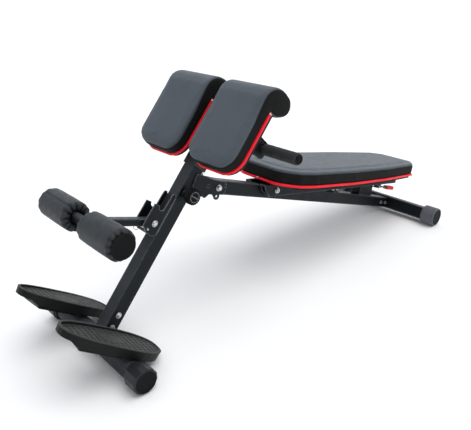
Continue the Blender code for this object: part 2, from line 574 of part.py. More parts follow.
def leg_arm(arm):
    """The swinging arm, with the roller bar across its end. It points to the front, at negative x."""
    end = HANDLE_RADIUS + 2 * GAP - ROLLER_REACH
    tube = rectangular_tube("leg_arm", (end, 0.012), ARM_SIZE[0], ARM_SIZE[1], arm)
    shape(tube, rod(-0.03, 0.03, 0.0068, 16), "DIFFERENCE")
    bar = pipe(-ROLLER_SPAN[1] + 0.002, ROLLER_SPAN[1] - 0.002, HANDLE_RADIUS, HANDLE_RADIUS - WALL)
    add("roller_bar", bar, STEEL_BLACK, arm, (-ROLLER_REACH, 0, 0), smooth=True)
    low, high = ROLLER_SPAN
    for side, sign in (("right", -1), ("left", 1)):
        foam = [(low, HANDLE_RADIUS + GAP), (low, ROLLER_RADIUS - 0.012)]
        foam += [(low + 0.004, ROLLER_RADIUS - 0.004), (low + 0.012, ROLLER_RADIUS)]
        foam += [(high - 0.008, ROLLER_RADIUS), (high - 0.002, ROLLER_RADIUS - 0.003)]
        foam += [(high, ROLLER_RADIUS - 0.008), (high, HANDLE_RADIUS + GAP)]
        foam = turned([(a * sign, r) for a, r in foam], 32, closed=True)
        add(f"leg_roller_{side}", foam, FOAM_COVER, arm, (-ROLLER_REACH, 0, 0), smooth=True)
        stem = HANDLE_RADIUS - WALL - GAP
        cap = [(high - 0.0175, 0.0), (high - 0.0175, stem), (high + GAP, stem), (high + GAP, 0.0320)]
        cap += [(high + 0.0022, 0.0320), (high + 0.0032, 0.0305), (high + 0.0032, 0.0)]
        cap = turned([(a * sign, r) for a, r in cap], 32)
        add(f"roller_cap_{side}", cap, KNOB_PLASTIC, arm, (-ROLLER_REACH, 0, 0), smooth=True)


# --- back pad -----------------------------------------------------------------------------------
def bench_outline(inset, front):
    """Half of the back pad's outline, from the narrow front round to the tapered rear end."""
    half = [(front, 0.064 - inset), (front + 0.012, 0.088 - inset), (0.004, 0.122 - inset),
            (0.060, 0.134 - inset), (0.265, 0.140 - inset), (0.480, 0.130 - inset), (0.708, 0.104 - inset),
            (0.757 - inset, 0.068 - inset)]
    return mirrored(half)


def bench(frame):
    """The back pad with its board and the two rails that hinge on the beam."""
    bottom = PAD_TOP - PAD_THICKNESS
    pad = add("back_pad", prism(bench_outline(0.0, -0.049), bottom, PAD_TOP, "Z"), VINYL, frame)
    bevel = pad.modifiers.new("soft_edge", "BEVEL")
    bevel.width = 0.008
    bevel.segments = 2
    bevel.limit_method = "ANGLE"
    bevel.angle_limit = math.radians(60)
    top = bottom - GAP
    board = [(0.010, 0.112), (0.060, 0.129), (0.265, 0.135), (0.480, 0.125), (0.703, 0.099), (0.751, 0.064)]
    add("back_board", prism(mirrored(board), top - BOARD_THICKNESS, top, "Z"), BOARD, frame)

    rails = box((0.140, 0.170), (-0.03, 0.03), (RAIL_Z[1] - 0.004, RAIL_Z[1]))
    box((0.380, 0.410), (-0.03, 0.03), (RAIL_Z[1] - 0.004, RAIL_Z[1]), rails)
    box((0.530, 0.560), (-0.03, 0.03), (RAIL_Z[1] - 0.004, RAIL_Z[1]), rails)
    box((RAIL_REAR - 0.030, RAIL_REAR), (-0.03, 0.03), (RAIL_Z[1] - 0.004, RAIL_Z[1]), rails)
    section = rounded_rectangle(RAIL_Y, RAIL_Z, 0.003)
    rail = add("back_rails", prism(section, -0.061, RAIL_REAR, "X"), STEEL_BLACK, frame)
    shape(rail, prism([(-y, z) for y, z in section], -0.061, RAIL_REAR, "X"), "UNION")
    shape(rail, rails, "UNION")
    cavities = bmesh.new()
    for sign in (-1, 1):
        low, high = sorted((sign * (RAIL_Y[0] + WALL), sign * (RAIL_Y[1] - WALL)))
        box((-0.07, RAIL_REAR + 0.01), (low, high), (RAIL_Z[0] + WALL, RAIL_Z[1] - WALL - 0.001), cavities)
    shape(rail, cavities, "DIFFERENCE")
    nose = [(-0.090, 0.030), (-0.0661, 0.030), (-0.047, -0.004), (-0.0106, -0.030), (-0.090, -0.030)]
    shape(rail, prism(nose, -0.05, 0.05), "DIFFERENCE")
    shape(rail, rod(-0.06, 0.06, 0.0053, 12), "DIFFERENCE")
    half = RAIL_Y[1] + GAP
    bolt("back_hinge_bolt", frame, (0, 0), (-half, half), radius=0.005, head=0.0095)

    drop = math.tan(BEAM_ANGLE - BENCH_ANGLE)
    top_of_beam = (BEAM_HEIGHT / 2 - BENCH_HINGE[1]) / math.cos(BEAM_ANGLE - BENCH_ANGLE) + 0.0005
    low = [top_of_beam - drop * x for x in (0.507, 0.590)]
    block = [(0.507, low[0]), (0.590, low[1]), (0.590, RAIL_Z[1] - 0.0043), (0.507, RAIL_Z[1] - 0.0043)]
    stop = add("back_stop_block", prism(block, -0.020, 0.020), STEEL_BLACK, frame)
    shape(stop, box((0.510, 0.587), (-0.017, 0.017), (-0.10, 0.05)), "DIFFERENCE")

    rack = [(0.372, RAIL_Z[1] - 0.0043), (0.372, -0.0050), (0.500, -0.0050), (0.500, RAIL_Z[1] - 0.0043)]
    rack = add("prop_rack", prism(rack, -0.006, 0.006), STEEL_BLACK, frame)
    notches = bmesh.new()
    for x in (0.400, 0.445, 0.485):
        rod(-0.01, 0.01, 0.0048, 12, centre=(x, 0, -0.0060), into=notches)
    shape(rack, notches, "DIFFERENCE")


def prop(frame, beam_frame):
    """The short prop that stands on the beam and holds the back pad up, and the ears it hinges on."""
    x, z = PROP_PIVOT
    top = BEAM_HEIGHT / 2 + GAP
    ears = box((x - 0.016, x + 0.016), (-0.0165, 0.0165), (top, top + 0.0028))
    ears = add("prop_ears", ears, STEEL_BLACK, beam_frame)
    outline = [(x - 0.012, top)] + [(x + 0.012, top)] + arc((x, z), 0.009, 0, 180, 6)
    for low, high in ((-0.0165, -0.0135), (0.0135, 0.0165)):
        shape(ears, prism(outline, low, high), "UNION")
    shape(ears, rod(-0.03, 0.03, 0.0043, 12, centre=(x, 0, z)), "DIFFERENCE")
    bolt("prop_bolt", beam_frame, (x, z), (-0.0168, 0.0168), head=0.0070, head_length=0.004)
    ends = arc((0, 0), 0.0075, 90, 270, 6) + arc((PROP_LENGTH, 0), 0.0075, -90, 90, 6)
    leg = add("prop_leg", prism(ends, -0.0125, -0.0100), STEEL_BLACK, frame)
    shape(leg, prism(ends, 0.0100, 0.0125), "UNION")
    shape(leg, box((0.020, 0.095), (-0.011, 0.011), (-0.0070, -0.0045)), "UNION")
    holes = rod(-0.03, 0.03, 0.0043, 12)
    rod(-0.03, 0.03, 0.0041, 12, centre=(PROP_LENGTH, 0, 0), into=holes)
    shape(leg, holes, "DIFFERENCE")
    pin = [(-0.0175, 0.0), (-0.0175, 0.0065), (-0.0130, 0.0065), (-0.0130, 0.0038), (0.0130, 0.0038),
           (0.0130, 0.0065), (0.0175, 0.0065), (0.0175, 0.0)]
    add("prop_top_pin", turned(pin, 12), ZINC, frame, (PROP_LENGTH, 0, 0), smooth=True)


def release_lever(bench_frame, lever):
    """The sprung latch lever under the right rail, with its red grip, between two small ears."""
    pivot = lever.location
    middle = -(RAIL_Y[0] + RAIL_Y[1]) / 2
    top = RAIL_Z[0] - GAP
    base = box((pivot.x - 0.014, pivot.x + 0.014), (middle - 0.0095, middle + 0.0095), (top - 0.002, top))
    ears = add("lever_ears", base, STEEL_BLACK, bench_frame)
    outline = [(pivot.x - 0.010, top), (pivot.x + 0.010, top)] + arc((pivot.x, pivot.z), 0.006, 0, -180, 5)
    for sign in (-1, 1):
        low, high = sorted((middle + sign * 0.0075, middle + sign * 0.0095))
        shape(ears, prism(outline, low, high), "UNION")
    hole = rod(middle - 0.02, middle + 0.02, 0.0023, 10, centre=(pivot.x, 0, pivot.z))
    shape(ears, hole, "DIFFERENCE")
    pin = [(-0.0112, 0.0), (-0.0112, 0.0040), (-0.0098, 0.0040), (-0.0098, 0.0020), (0.0098, 0.0020),
           (0.0098, 0.0040), (0.0112, 0.0040), (0.0112, 0.0)]
    add("lever_pin", turned(pin, 10), ZINC, bench_frame, (pivot.x, middle, pivot.z), smooth=True)
    blade = [(-0.020, -0.0016), (0.0, -0.0048), (0.030, -0.0040), (0.066, -0.0090), (0.108, -0.0130),
             (0.107, -0.0095), (0.066, -0.0055), (0.030, 0.0005), (0.0, 0.0040), (-0.020, 0.0016)]
    blade = add("release_lever", prism(blade, middle - 0.0070, middle + 0.0070), STEEL_BLACK, lever)
    shape(blade, rod(middle - 0.02, middle + 0.02, 0.0023, 10), "DIFFERENCE")
    grip = [(0.064, -0.0140), (0.113, -0.0188), (0.1142, -0.0054), (0.0652, -0.0007)]
    grip = add("lever_grip", prism(grip, middle - 0.0095, middle + 0.0095), RED_PLASTIC, lever)
    slot = [(0.050, -0.0074), (0.066, -0.0094), (0.109, -0.0135), (0.108, -0.0091), (0.066, -0.0051),
            (0.050, -0.0028)]
    shape(grip, prism(slot, middle - 0.0073, middle + 0.0073), "DIFFERENCE")


def main():
    clear_scene()
    root = empty("roman_chair", None, (-CENTRE_X, 0, 0))
    post = empty("post_frame", root, (POST_FOOT_X, 0, FRONT_CAP_FLAT), -POST_ANGLE)
    front_foot(root)
    front_post(post)
    foot_plates(root)
    gussets(post)
    hip_support(post)
    height_knob(post)
    roller_bracket(post)
    lock_pin(post)
    leg_arm(empty("arm_frame", post, (ARM_PIVOT[0], 0, ARM_PIVOT[1]), POST_ANGLE + ARM_ANGLE))

    beam_frame = empty("beam_frame", root, PIVOT, BEAM_ANGLE)
    beam(beam_frame)
    rear_foot(beam_frame)
    tilt = BENCH_ANGLE - BEAM_ANGLE
    bench_frame = empty("back_frame", beam_frame, (BENCH_HINGE[0], 0, BENCH_HINGE[1]), tilt)
    bench(bench_frame)
    prop(empty("prop_frame", beam_frame, (PROP_PIVOT[0], 0, PROP_PIVOT[1]), -PROP_ANGLE), beam_frame)
    release_lever(bench_frame, empty("lever_frame", bench_frame, (0.600, 0, -0.0280)))


main()
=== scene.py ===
"""Looks of the roman chair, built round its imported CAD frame.

Metres, +Z up, +X towards the rear of the machine, the user's left at +Y.
Each member has its own frame: local x runs along the member and local z is its upper side.
"""
import json
import math
import random

import bmesh
import bpy
from mathutils import Euler, Matrix, Vector, noise


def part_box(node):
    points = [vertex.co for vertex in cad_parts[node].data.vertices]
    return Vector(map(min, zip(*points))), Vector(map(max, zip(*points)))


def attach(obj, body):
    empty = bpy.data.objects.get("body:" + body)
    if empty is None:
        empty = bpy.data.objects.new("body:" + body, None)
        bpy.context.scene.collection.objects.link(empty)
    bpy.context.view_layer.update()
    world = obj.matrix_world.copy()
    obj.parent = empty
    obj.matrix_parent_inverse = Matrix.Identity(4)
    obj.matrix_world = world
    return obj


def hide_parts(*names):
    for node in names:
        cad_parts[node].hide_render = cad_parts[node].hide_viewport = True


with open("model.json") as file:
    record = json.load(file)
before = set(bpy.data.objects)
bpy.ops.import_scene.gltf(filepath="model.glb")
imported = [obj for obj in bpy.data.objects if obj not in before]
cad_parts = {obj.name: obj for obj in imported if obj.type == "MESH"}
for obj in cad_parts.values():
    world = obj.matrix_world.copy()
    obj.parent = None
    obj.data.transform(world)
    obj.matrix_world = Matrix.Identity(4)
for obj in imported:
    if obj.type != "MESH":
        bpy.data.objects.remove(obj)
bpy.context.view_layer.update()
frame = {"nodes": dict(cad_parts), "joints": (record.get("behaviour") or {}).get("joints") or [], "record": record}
NODES = frame["nodes"]
JOINTS = {joint["name"]: joint for joint in frame["joints"]}
SCENE = bpy.context.scene
SIDES = (("right", -1), ("left", 1))
MM = 0.001
UP = Vector((0, 0, 1))


# --- sizes and the frames of the members --------------------------------------------------------
def member(place, degrees, toe_out=0.0):
    """A frame at a point, turned about Z and tipped about its own Y."""
    turn = Matrix.Rotation(math.radians(toe_out), 4, "Z") @ Matrix.Rotation(math.radians(degrees), 4, "Y")
    return Matrix.Translation(place) @ turn


def joint_point(name, y=None):
    """A joint's place, or the point beside it at another y."""
    x, own_y, z = JOINTS[name]["pos_m"]
    return Vector((x, own_y if y is None else y, z))


FRONT_X, FRONT_Z = -0.622, 0.0328      # the front foot's axis
POST = member((FRONT_X + 0.010, 0, FRONT_Z), -49.5)
BEAM = member(joint_point("frame_fold", 0), 19.1)
BACK = member(joint_point("back_tilt", 0), 11.6)
ROLLER_AXIS = joint_point("roller_left_spin")
PLATE_AHEAD, PLATE_RISE, PLATE_OUT = 0.015, 0.112, 0.117
PLATE_TILT, TOE_OUT = 36.5, 5
PLATES = {side: member((FRONT_X - PLATE_AHEAD, sign * PLATE_OUT, PLATE_RISE), PLATE_TILT, sign * TOE_OUT)
          for side, sign in SIDES}

HIP_SIDES = (0.0240, 0.1930)           # a hip cushion's inner and outer side
HIP_BOTTOM = 0.515                     # along the post
HIP_CORNER = 0.050
HIP_BOARD_FACE = 0.0363                # off the post's axis
HIP_BOARD_TOP = 0.6945
HIP_FACE = 0.0765
HIP_CURL = 0.700                       # where the cushion leaves its board and curls over
HANDLE = (0.659, -0.1425)
BENCH_BOTTOM = 0.0317                  # the back cushion, above its hinge
BENCH_TOP = 0.0767
BENCH_HALF = ((-0.049, 0.064), (-0.037, 0.088), (0.004, 0.122), (0.060, 0.134), (0.265, 0.140),
              (0.480, 0.130), (0.708, 0.104), (0.757, 0.068))
HELD_UP_TO = 9 * MM                    # the height above a board that its cover's pull reaches
SEAM_INSET = 4.0 * MM                  # from a cushion's outline to its seam
SEAM_OUT = 4.0 * MM                    # by which stuffing moves the seam outwards
HIP_SEAM_DROP, BENCH_SEAM_DROP = 9.5 * MM, 8 * MM   # from a cushion's face down to its seam
PIPING_RADIUS = 4.1 * MM
STITCH_PITCH = 4.6 * MM
STITCH_SHARE = 0.68                    # the part of a pitch that its stitch fills
STITCH_SHIFT = -3.2 * MM               # sideways from the seam
CLOTH_FRAMES = 20

ROLLER_ENDS = (0.0290, 0.1723)         # a roller cover, from the middle of the machine
ROLLER_RADIUS = 0.0380
ROLLER_BORE = 0.0132
ROLLER_ROUND = 12 * MM                 # the rounding of its ends
REAR_RIBS = 54
ON_AXIS = 0.05 * MM                    # a radius that closes a turned profile at its axis

TREAD_TILT = (2.0, -1.2)               # in degrees about the plate's X, mirrored, and Y
TREAD_LEVEL = -4.7 * MM
TREAD_UNDERSIDE = -8.5 * MM
DIMPLE_PITCH = (0.0160, 0.0090)
DIMPLE_HALF = (0.0052, 0.0026)

CAMERA_PLACE = (-1.1208, -1.0779, 0.8986)
CAMERA_TURN = (42.61, 24.48, -0.47)    # heading from +Y to +X, pitch down and roll, in degrees
CAMERA_LENS = 40.71                    # in millimetres, before a 36 mm wide sensor
SOFTBOX_WAY = (-0.25, 0.35, -1.3)
BACKDROP_WAY = (0.62, 0.72, 0.0)       # the side of the sky that is brightest


# --- camera, floor and light --------------------------------------------------------------------
def camera():
    """The camera, in front of the machine and to its right."""
    made = bpy.data.objects.new("camera", bpy.data.cameras.new("camera"))
    SCENE.collection.objects.link(made)
    made.location = CAMERA_PLACE
    heading, pitch, roll = (math.radians(a) for a in CAMERA_TURN)
    level = math.cos(pitch)
    look = Vector((math.sin(heading) * level, math.cos(heading) * level, -math.sin(pitch)))
    made.rotation_mode = "QUATERNION"
    made.rotation_quaternion = look.to_track_quat("-Z", "Y") @ Euler((0, 0, roll)).to_quaternion()
    made.data.sensor_width = 36.0
    made.data.lens = CAMERA_LENS
    made.data.clip_end = 200.0
    SCENE.camera = made
    SCENE.view_settings.view_transform = "Standard"
    SCENE.view_settings.look = "None"


def ground():
    """A plain pale floor, as wide as the view at its horizon."""
    bm = bmesh.new()
    bmesh.ops.create_grid(bm, x_segments=8, y_segments=8, size=45.0)
    mesh = bpy.data.meshes.new("floor")
    bm.to_mesh(mesh)
    bm.free()
    floor = bpy.data.objects.new("floor", mesh)
    floor.location.z = -0.6 * MM
    SCENE.collection.objects.link(floor)
    paper = bpy.data.materials.new("floor_paper")
    paper.use_nodes = True
    shader = paper.node_tree.nodes["Principled BSDF"]
    shader.inputs["Base Color"].default_value = (0.97, 0.97, 0.97, 1)
    shader.inputs["Roughness"].default_value = 0.9
    shader.inputs["Specular IOR Level"].default_value = 0.0
    mesh.materials.append(paper)


def add(tree, kind, inputs, **settings):
    """A shader node; each of its inputs is a number, a vector or another node's output."""
    made = tree.nodes.new("ShaderNode" + kind)
    for key, value in settings.items():
        setattr(made, key, value)
    for key, value in inputs.items():
        if isinstance(value, bpy.types.NodeSocket):
            tree.links.new(value, made.inputs[key])
        else:
            made.inputs[key].default_value = value
    return made


def ramp(tree, value, start, end, low, high):
    """A value mapped from start..end to low..high, and held there past them."""
    limits = {"From Min": start, "From Max": end, "To Min": low, "To Max": high}
    return add(tree, "MapRange", {"Value": value, **limits}).outputs["Result"]


def light():
    """One soft light from above, and a sky that is bright behind the machine and all round the horizon."""
    softbox = bpy.data.lights.new("softbox", "SUN")
    softbox.energy = 1.5
    softbox.angle = math.radians(55)
    made = bpy.data.objects.new("softbox", softbox)
    made.rotation_euler = Vector(SOFTBOX_WAY).to_track_quat("-Z", "Y").to_euler()
    SCENE.collection.objects.link(made)

    world = bpy.data.worlds.new("studio")
    SCENE.world = world
    world.use_nodes = True
    tree = world.node_tree
    place = add(tree, "TexCoord", {}).outputs["Generated"]
    aim = add(tree, "VectorMath", {0: place, 1: BACKDROP_WAY}, operation="DOT_PRODUCT").outputs["Value"]
    height = add(tree, "SeparateXYZ", {0: place}).outputs["Z"]
    backdrop = ramp(tree, aim, -0.4, 0.85, 0.50, 1.25)
    horizon = ramp(tree, height, 0.10, 0.32, 1.0, 0.0)
    brighter = add(tree, "Math", {0: backdrop, 1: horizon}, operation="MAXIMUM").outputs[0]
    sky = tree.nodes["Background"]
    sky.inputs["Color"].default_value = (0.94, 0.97, 1.0, 1)
    tree.links.new(brighter, sky.inputs["Strength"])


# --- materials ----------------------------------------------------------------------------------
class Finish:
    """A Principled material under construction, textured by place on the object."""

    def __init__(self, name, roughness, metallic=0.0, specular=0.5):
        self.material = bpy.data.materials.new(name + "_finish")
        self.material.use_nodes = True
        self.tree = self.material.node_tree
        self.shader = self.tree.nodes["Principled BSDF"]
        self.shader.inputs["Roughness"].default_value = roughness
        self.shader.inputs["Metallic"].default_value = metallic
        self.shader.inputs["Specular IOR Level"].default_value = specular
        self.place = self.add("TexCoord", {}).outputs["Object"]
        self.normal = None

    def add(self, kind, inputs, **settings):
        return add(self.tree, kind, inputs, **settings)

    def stretch(self, scale):
        """The place on the object, stretched along its axes."""
        return self.add("Mapping", {"Vector": self.place, "Scale": scale}).outputs["Vector"]

    def noise(self, scale, detail=3.0, rough=0.55, place=None):
        inputs = {"Vector": place or self.place, "Scale": scale, "Detail": detail, "Roughness": rough}
        return self.add("TexNoise", inputs).outputs["Fac"]

    def cells(self, scale, feature="F1", place=None):
        inputs = {"Vector": place or self.place, "Scale": scale}
        return self.add("TexVoronoi", inputs, feature=feature).outputs["Distance"]

    def spread(self, value, low, high, start=0.3, end=0.7):
        """A value, by default a noise, spread over low..high."""
        return ramp(self.tree, value, start, end, low, high)

    def combine(self, operation, *values):
        return self.add("Math", dict(enumerate(values)), operation=operation).outputs[0]

    def blend(self, factor, a, b):
        """Colour a where a factor is 0, and b where it is 1."""
        a, b = ((*c, 1.0) if isinstance(c, tuple) else c for c in (a, b))
        return self.add("Mix", {"Factor": factor, "A": a, "B": b}, data_type="RGBA").outputs["Result"]

    def mottle(self, value, dark, light):
        """Patches of two tones, where a noise is low and high."""
        return self.blend(self.spread(value, 0, 1), dark, light)

    def colour(self, value):
        self.tree.links.new(value, self.shader.inputs["Base Color"])

    def roughness(self, value):
        self.tree.links.new(value, self.shader.inputs["Roughness"])

    def bump(self, height, distance, strength=1.0):
        """Relief of a height, over the relief put on before it."""
        inputs = {"Height": height, "Distance": distance, "Strength": strength}
        if self.normal is not None:
            inputs["Normal"] = self.normal
        self.normal = self.add("Bump", inputs).outputs["Normal"]
        self.tree.links.new(self.normal, self.shader.inputs["Normal"])

    def attribute(self, name):
        return self.add("Attribute", {}, attribute_name=name).outputs["Fac"]

    def upward(self):
        """1 on faces that look up and 0 on steep ones."""
        normal = self.add("TexCoord", {}).outputs["Normal"]
        return self.spread(self.add("SeparateXYZ", {0: normal}).outputs["Z"], 0.0, 1.0, 0.35, 1.0)

    def edges(self, radius, low=0.80, high=0.97):
        """1 along sharp edges and 0 on flat faces."""
        rounded = self.add("Bevel", {"Radius": radius}, samples=4).outputs["Normal"]
        flat = self.add("NewGeometry", {}).outputs["Normal"]
        match = self.add("VectorMath", {0: rounded, 1: flat}, operation="DOT_PRODUCT").outputs["Value"]
        return self.spread(match, 1.0, 0.0, low, high)


def painted_steel():
    """Black powder coat: orange peel, upper sides lighter as dust and painted sheen, and edges lighter as rubbed
    paint and painted highlight.
    """
    made = Finish("black_frame", 0.45, specular=0.22)
    made.shader.inputs["Specular Tint"].default_value = (0.74, 0.88, 1.0, 1)
    body = made.mottle(made.noise(9), (0.0036, 0.0038, 0.0042), (0.0060, 0.0064, 0.0070))
    # Painted sheen: faces that look up are lighter, as where light falls on them, with patches like dust.
    dust_and_painted_sheen = made.combine("MULTIPLY", made.upward(), made.spread(made.noise(24, 4), 0.6, 1.0))
    body = made.blend(dust_and_painted_sheen, body, (0.062, 0.070, 0.079))
    # Painted highlight: a light line along the edges, with patches like rubbed paint.
    edge_patches = made.spread(made.noise(60, 4), 0.55, 1.0)
    wear_and_painted_highlight = made.combine("MULTIPLY", made.edges(3.4 * MM, 0.84, 0.985), edge_patches)
    made.colour(made.blend(wear_and_painted_highlight, body, (0.260, 0.280, 0.305)))
    made.roughness(made.spread(made.noise(35), 0.36, 0.52))
    made.bump(made.noise(850, 2), 0.05 * MM)
    made.bump(made.noise(14, 2), 0.25 * MM)
    return made.material


def galvanised(name, dark, light):
    """Zinc plate: fine scratches, a mottled bloom and dull patches."""
    made = Finish(name, 0.3, metallic=1.0)
    bloom = made.blend(made.spread(made.cells(420), 0, 1, 0.1, 0.9), dark, light)
    dull = made.spread(made.noise(140, 4), 0.0, 1.0, 0.45, 0.75)
    made.colour(made.blend(dull, bloom, tuple(0.82 * c for c in dark)))
    scratches = made.noise(900, 4, 0.7, made.stretch((1, 0.12, 1)))
    made.roughness(made.spread(scratches, 0.20, 0.42))
    made.bump(scratches, 0.03 * MM)
    return made.material


def moulded(name, dark, light, specular, rough, grain, depth):
    """Moulded plastic with a spark-eroded texture, painted shade in its pits and polished edges."""
    made = Finish(name, rough, specular=specular)
    body = made.mottle(made.noise(22, 4), dark, light)
    # Painted shade: darker in recesses, by the shade value stored on the mesh, as in the tread's dimples.
    body = made.blend(made.attribute("painted_shade"), body, tuple(0.22 * c for c in dark))
    polished = tuple(2.4 * c + 0.014 for c in light)
    made.colour(made.blend(made.edges(1.3 * MM), body, polished))
    made.roughness(made.spread(made.noise(120, 4), rough - 0.07, rough + 0.08))
    made.bump(made.noise(grain, 3, 0.7), depth)
    made.bump(made.noise(30, 2), 0.15 * MM)
    return made.material


def leather_grain(made, scale, depth):
    """Pressed grain: small cells with creases between them, and a few soft long creases."""
    made.bump(made.noise(26, 4), 0.35 * MM, 0.8)
    wobble = made.add("TexNoise", {"Vector": made.place, "Scale": 160}).outputs["Color"]
    wander = made.add("VectorMath", {0: wobble, 1: (2.2 * MM,) * 3, 2: made.place}, operation="MULTIPLY_ADD")
    cells = made.cells(scale, "DISTANCE_TO_EDGE", wander.outputs["Vector"])
    creases = made.spread(cells, 0.0, 1.0, 0.0, 0.16)
    made.bump(creases, depth)
    return creases


def vinyl():
    """Upholstery vinyl in two colours: slate panels inside the seam, black boxing outside it."""
    made = Finish("vinyl", 0.46, specular=0.20)
    creases = leather_grain(made, 620, 0.075 * MM)
    slate = made.mottle(made.noise(7, 4), (0.074, 0.089, 0.109), (0.090, 0.106, 0.127))
    slate = made.blend(creases, (0.056, 0.066, 0.080), slate)
    black = made.mottle(made.noise(11, 4), (0.0030, 0.0031, 0.0032), (0.0050, 0.0051, 0.0053))
    inside = made.spread(made.attribute("inset"), 0.0, 1.0, SEAM_INSET - 0.25 * MM, SEAM_INSET + 0.25 * MM)
    made.colour(made.blend(inside, black, slate))
    shine = made.combine("MULTIPLY_ADD", inside, -0.32, 0.78)
    made.roughness(made.combine("ADD", shine, made.spread(made.noise(45, 3), -0.04, 0.05)))
    return made.material


def roller_vinyl():
    """The thinner slate cover of the leg rollers, with painted shade in its folds, along its seam and in its hole.
    """
    made = Finish("foam_cover", 0.5, specular=0.28)
    creases = leather_grain(made, 800, 0.06 * MM)
    body = made.mottle(made.noise(12, 4), (0.0225, 0.0290, 0.0345), (0.0325, 0.0405, 0.0475))
    body = made.blend(creases, (0.018, 0.023, 0.0275), body)
    # Painted shade: darker in the pleats, along the lap seam and in the hole, by the value stored on the mesh.
    made.colour(made.blend(made.attribute("painted_shade"), body, (0.006, 0.007, 0.008)))
    made.roughness(made.spread(made.noise(60, 3), 0.46, 0.60))
    return made.material


def grip_foam():
    """Closed-cell foam: a matt skin full of fine pores."""
    made = Finish("grip_foam", 0.85, specular=0.25)
    pores = made.spread(made.cells(1400), 0.0, 1.0, 0.0, 0.45)
    body = made.mottle(made.noise(40, 4), (0.034, 0.034, 0.036), (0.048, 0.048, 0.051))
    made.colour(made.blend(pores, (0.007, 0.007, 0.007), body))
    made.roughness(made.spread(made.noise(90), 0.76, 0.92))
    made.bump(pores, 0.12 * MM)
    made.bump(made.noise(55, 3), 0.5 * MM)
    return made.material


def backing_board():
    """Particle board with black backing cloth stapled over it."""
    made = Finish("board", 0.85, specular=0.2)
    weave = made.cells(900, place=made.stretch((1, 1.6, 1)))
    fibres = made.noise(500, 5, 0.7, made.stretch((0.2, 1, 1)))
    made.colour(made.mottle(fibres, (0.012, 0.012, 0.013), (0.030, 0.030, 0.031)))
    made.roughness(made.spread(weave, 0.72, 0.95))
    made.bump(weave, 0.15 * MM)
    return made.material


def red_plastic():
    """The red of the piping and of the lever's grip, with darker, dirtier patches."""
    made = Finish("red_plastic", 0.42, specular=0.2)
    body = made.mottle(made.noise(18, 4), (0.88, 0.010, 0.024), (0.96, 0.015, 0.031))
    dirt = made.spread(made.noise(160, 5, 0.7), 0.0, 0.30, 0.58, 0.78)
    made.colour(made.blend(dirt, body, (0.30, 0.008, 0.014)))
    made.roughness(made.spread(made.noise(80), 0.36, 0.52))
    made.bump(made.cells(900), 0.05 * MM)
    return made.material


def thread():
    """Twisted black polyester thread."""
    made = Finish("vinyl_thread", 0.6, specular=0.3)
    twist = made.noise(2600, 2, 0.5, made.stretch((1, 0.3, 1)))
    made.colour(made.mottle(twist, (0.008, 0.008, 0.009), (0.022, 0.023, 0.025)))
    made.roughness(made.spread(twist, 0.5, 0.7))
    made.bump(twist, 0.08 * MM)
    return made.material


# Each plastic's dark and light tone, specular level, roughness, grain scale and grain depth.
PLASTICS = {
    "cap_plastic": ((0.0090, 0.0105, 0.0130), (0.0150, 0.0175, 0.0210), 0.30, 0.42, 1800, 0.07 * MM),
    "ribbed_plastic": ((0.086, 0.093, 0.110), (0.110, 0.118, 0.138), 0.30, 0.50, 1800, 0.07 * MM),
    "tread_plastic": ((0.0040, 0.0044, 0.0043), (0.0070, 0.0076, 0.0074), 0.18, 0.50, 1300, 0.09 * MM),
    "tread_top": ((0.034, 0.036, 0.0335), (0.046, 0.048, 0.045), 0.22, 0.58, 1300, 0.09 * MM),
    "knob_plastic": ((0.0036, 0.0037, 0.0040), (0.0056, 0.0058, 0.0062), 0.09, 0.54, 2200, 0.04 * MM),
    "ring_plastic": ((0.085, 0.090, 0.094), (0.115, 0.120, 0.125), 0.35, 0.40, 2200, 0.03 * MM),
}
MATERIALS = {
    "black_frame": painted_steel(),
    "zinc": galvanised("zinc", (0.50, 0.50, 0.51), (0.74, 0.74, 0.73)),
    "dull_steel": galvanised("dull_steel", (0.10, 0.10, 0.105), (0.20, 0.20, 0.205)),
    "foam_cover": roller_vinyl(),
    "grip_foam": grip_foam(),
    "vinyl": vinyl(),
    "board": backing_board(),
    "red_plastic": red_plastic(),
    "thread": thread(),
    **{name: moulded(name, *look) for name, look in PLASTICS.items()},
}


# --- making pieces ------------------------------------------------------------------------------
def clamp(value):
    return max(0.0, min(1.0, value))


def piece(name, bm, kind, body, replaces=(), sharp=35):
    """A finished piece from a mesh under construction, riding on a body."""
    bmesh.ops.remove_doubles(bm, verts=bm.verts, dist=1e-6)
    bmesh.ops.recalc_face_normals(bm, faces=bm.faces)
    mesh = bpy.data.meshes.new(name)
    bm.to_mesh(mesh)
    bm.free()
    return dress(name, mesh, kind, body, replaces, sharp)


def dress(name, mesh, kind, body, replaces=(), sharp=35):
    """A finished piece from a ready mesh, smooth but for its edges over an angle in degrees."""
    mesh.shade_smooth()
    mesh.set_sharp_from_angle(angle=math.radians(sharp))
    mesh.materials.clear()
    mesh.materials.append(MATERIALS[kind])
    made = bpy.data.objects.new(name, mesh)
    SCENE.collection.objects.link(made)
    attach(made, body)
    if replaces:
        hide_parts(*replaces)
    return made


def store(mesh, name, values):
    """Stores a number for each vertex, for the material to read."""
    layer = mesh.attributes.new(name, "FLOAT", "POINT")
    layer.data.foreach_set("value", values)


def mirrored(place, sign):
    """A level frame at a place, mirrored across it for the right side."""
    return Matrix.Translation(place) @ Matrix.Scale(sign, 4, (0, 1, 0))


def bridge(bm, rings, closed=False):
    """Faces from each ring of vertices to the next, and from the last to the first if closed."""
    pairs = list(zip(rings, rings[1:])) + ([(rings[-1], rings[0])] if closed else [])
    for one, two in pairs:
        for k in range(len(one)):
            bm.faces.new((one[k], one[k - 1], two[k - 1], two[k]))


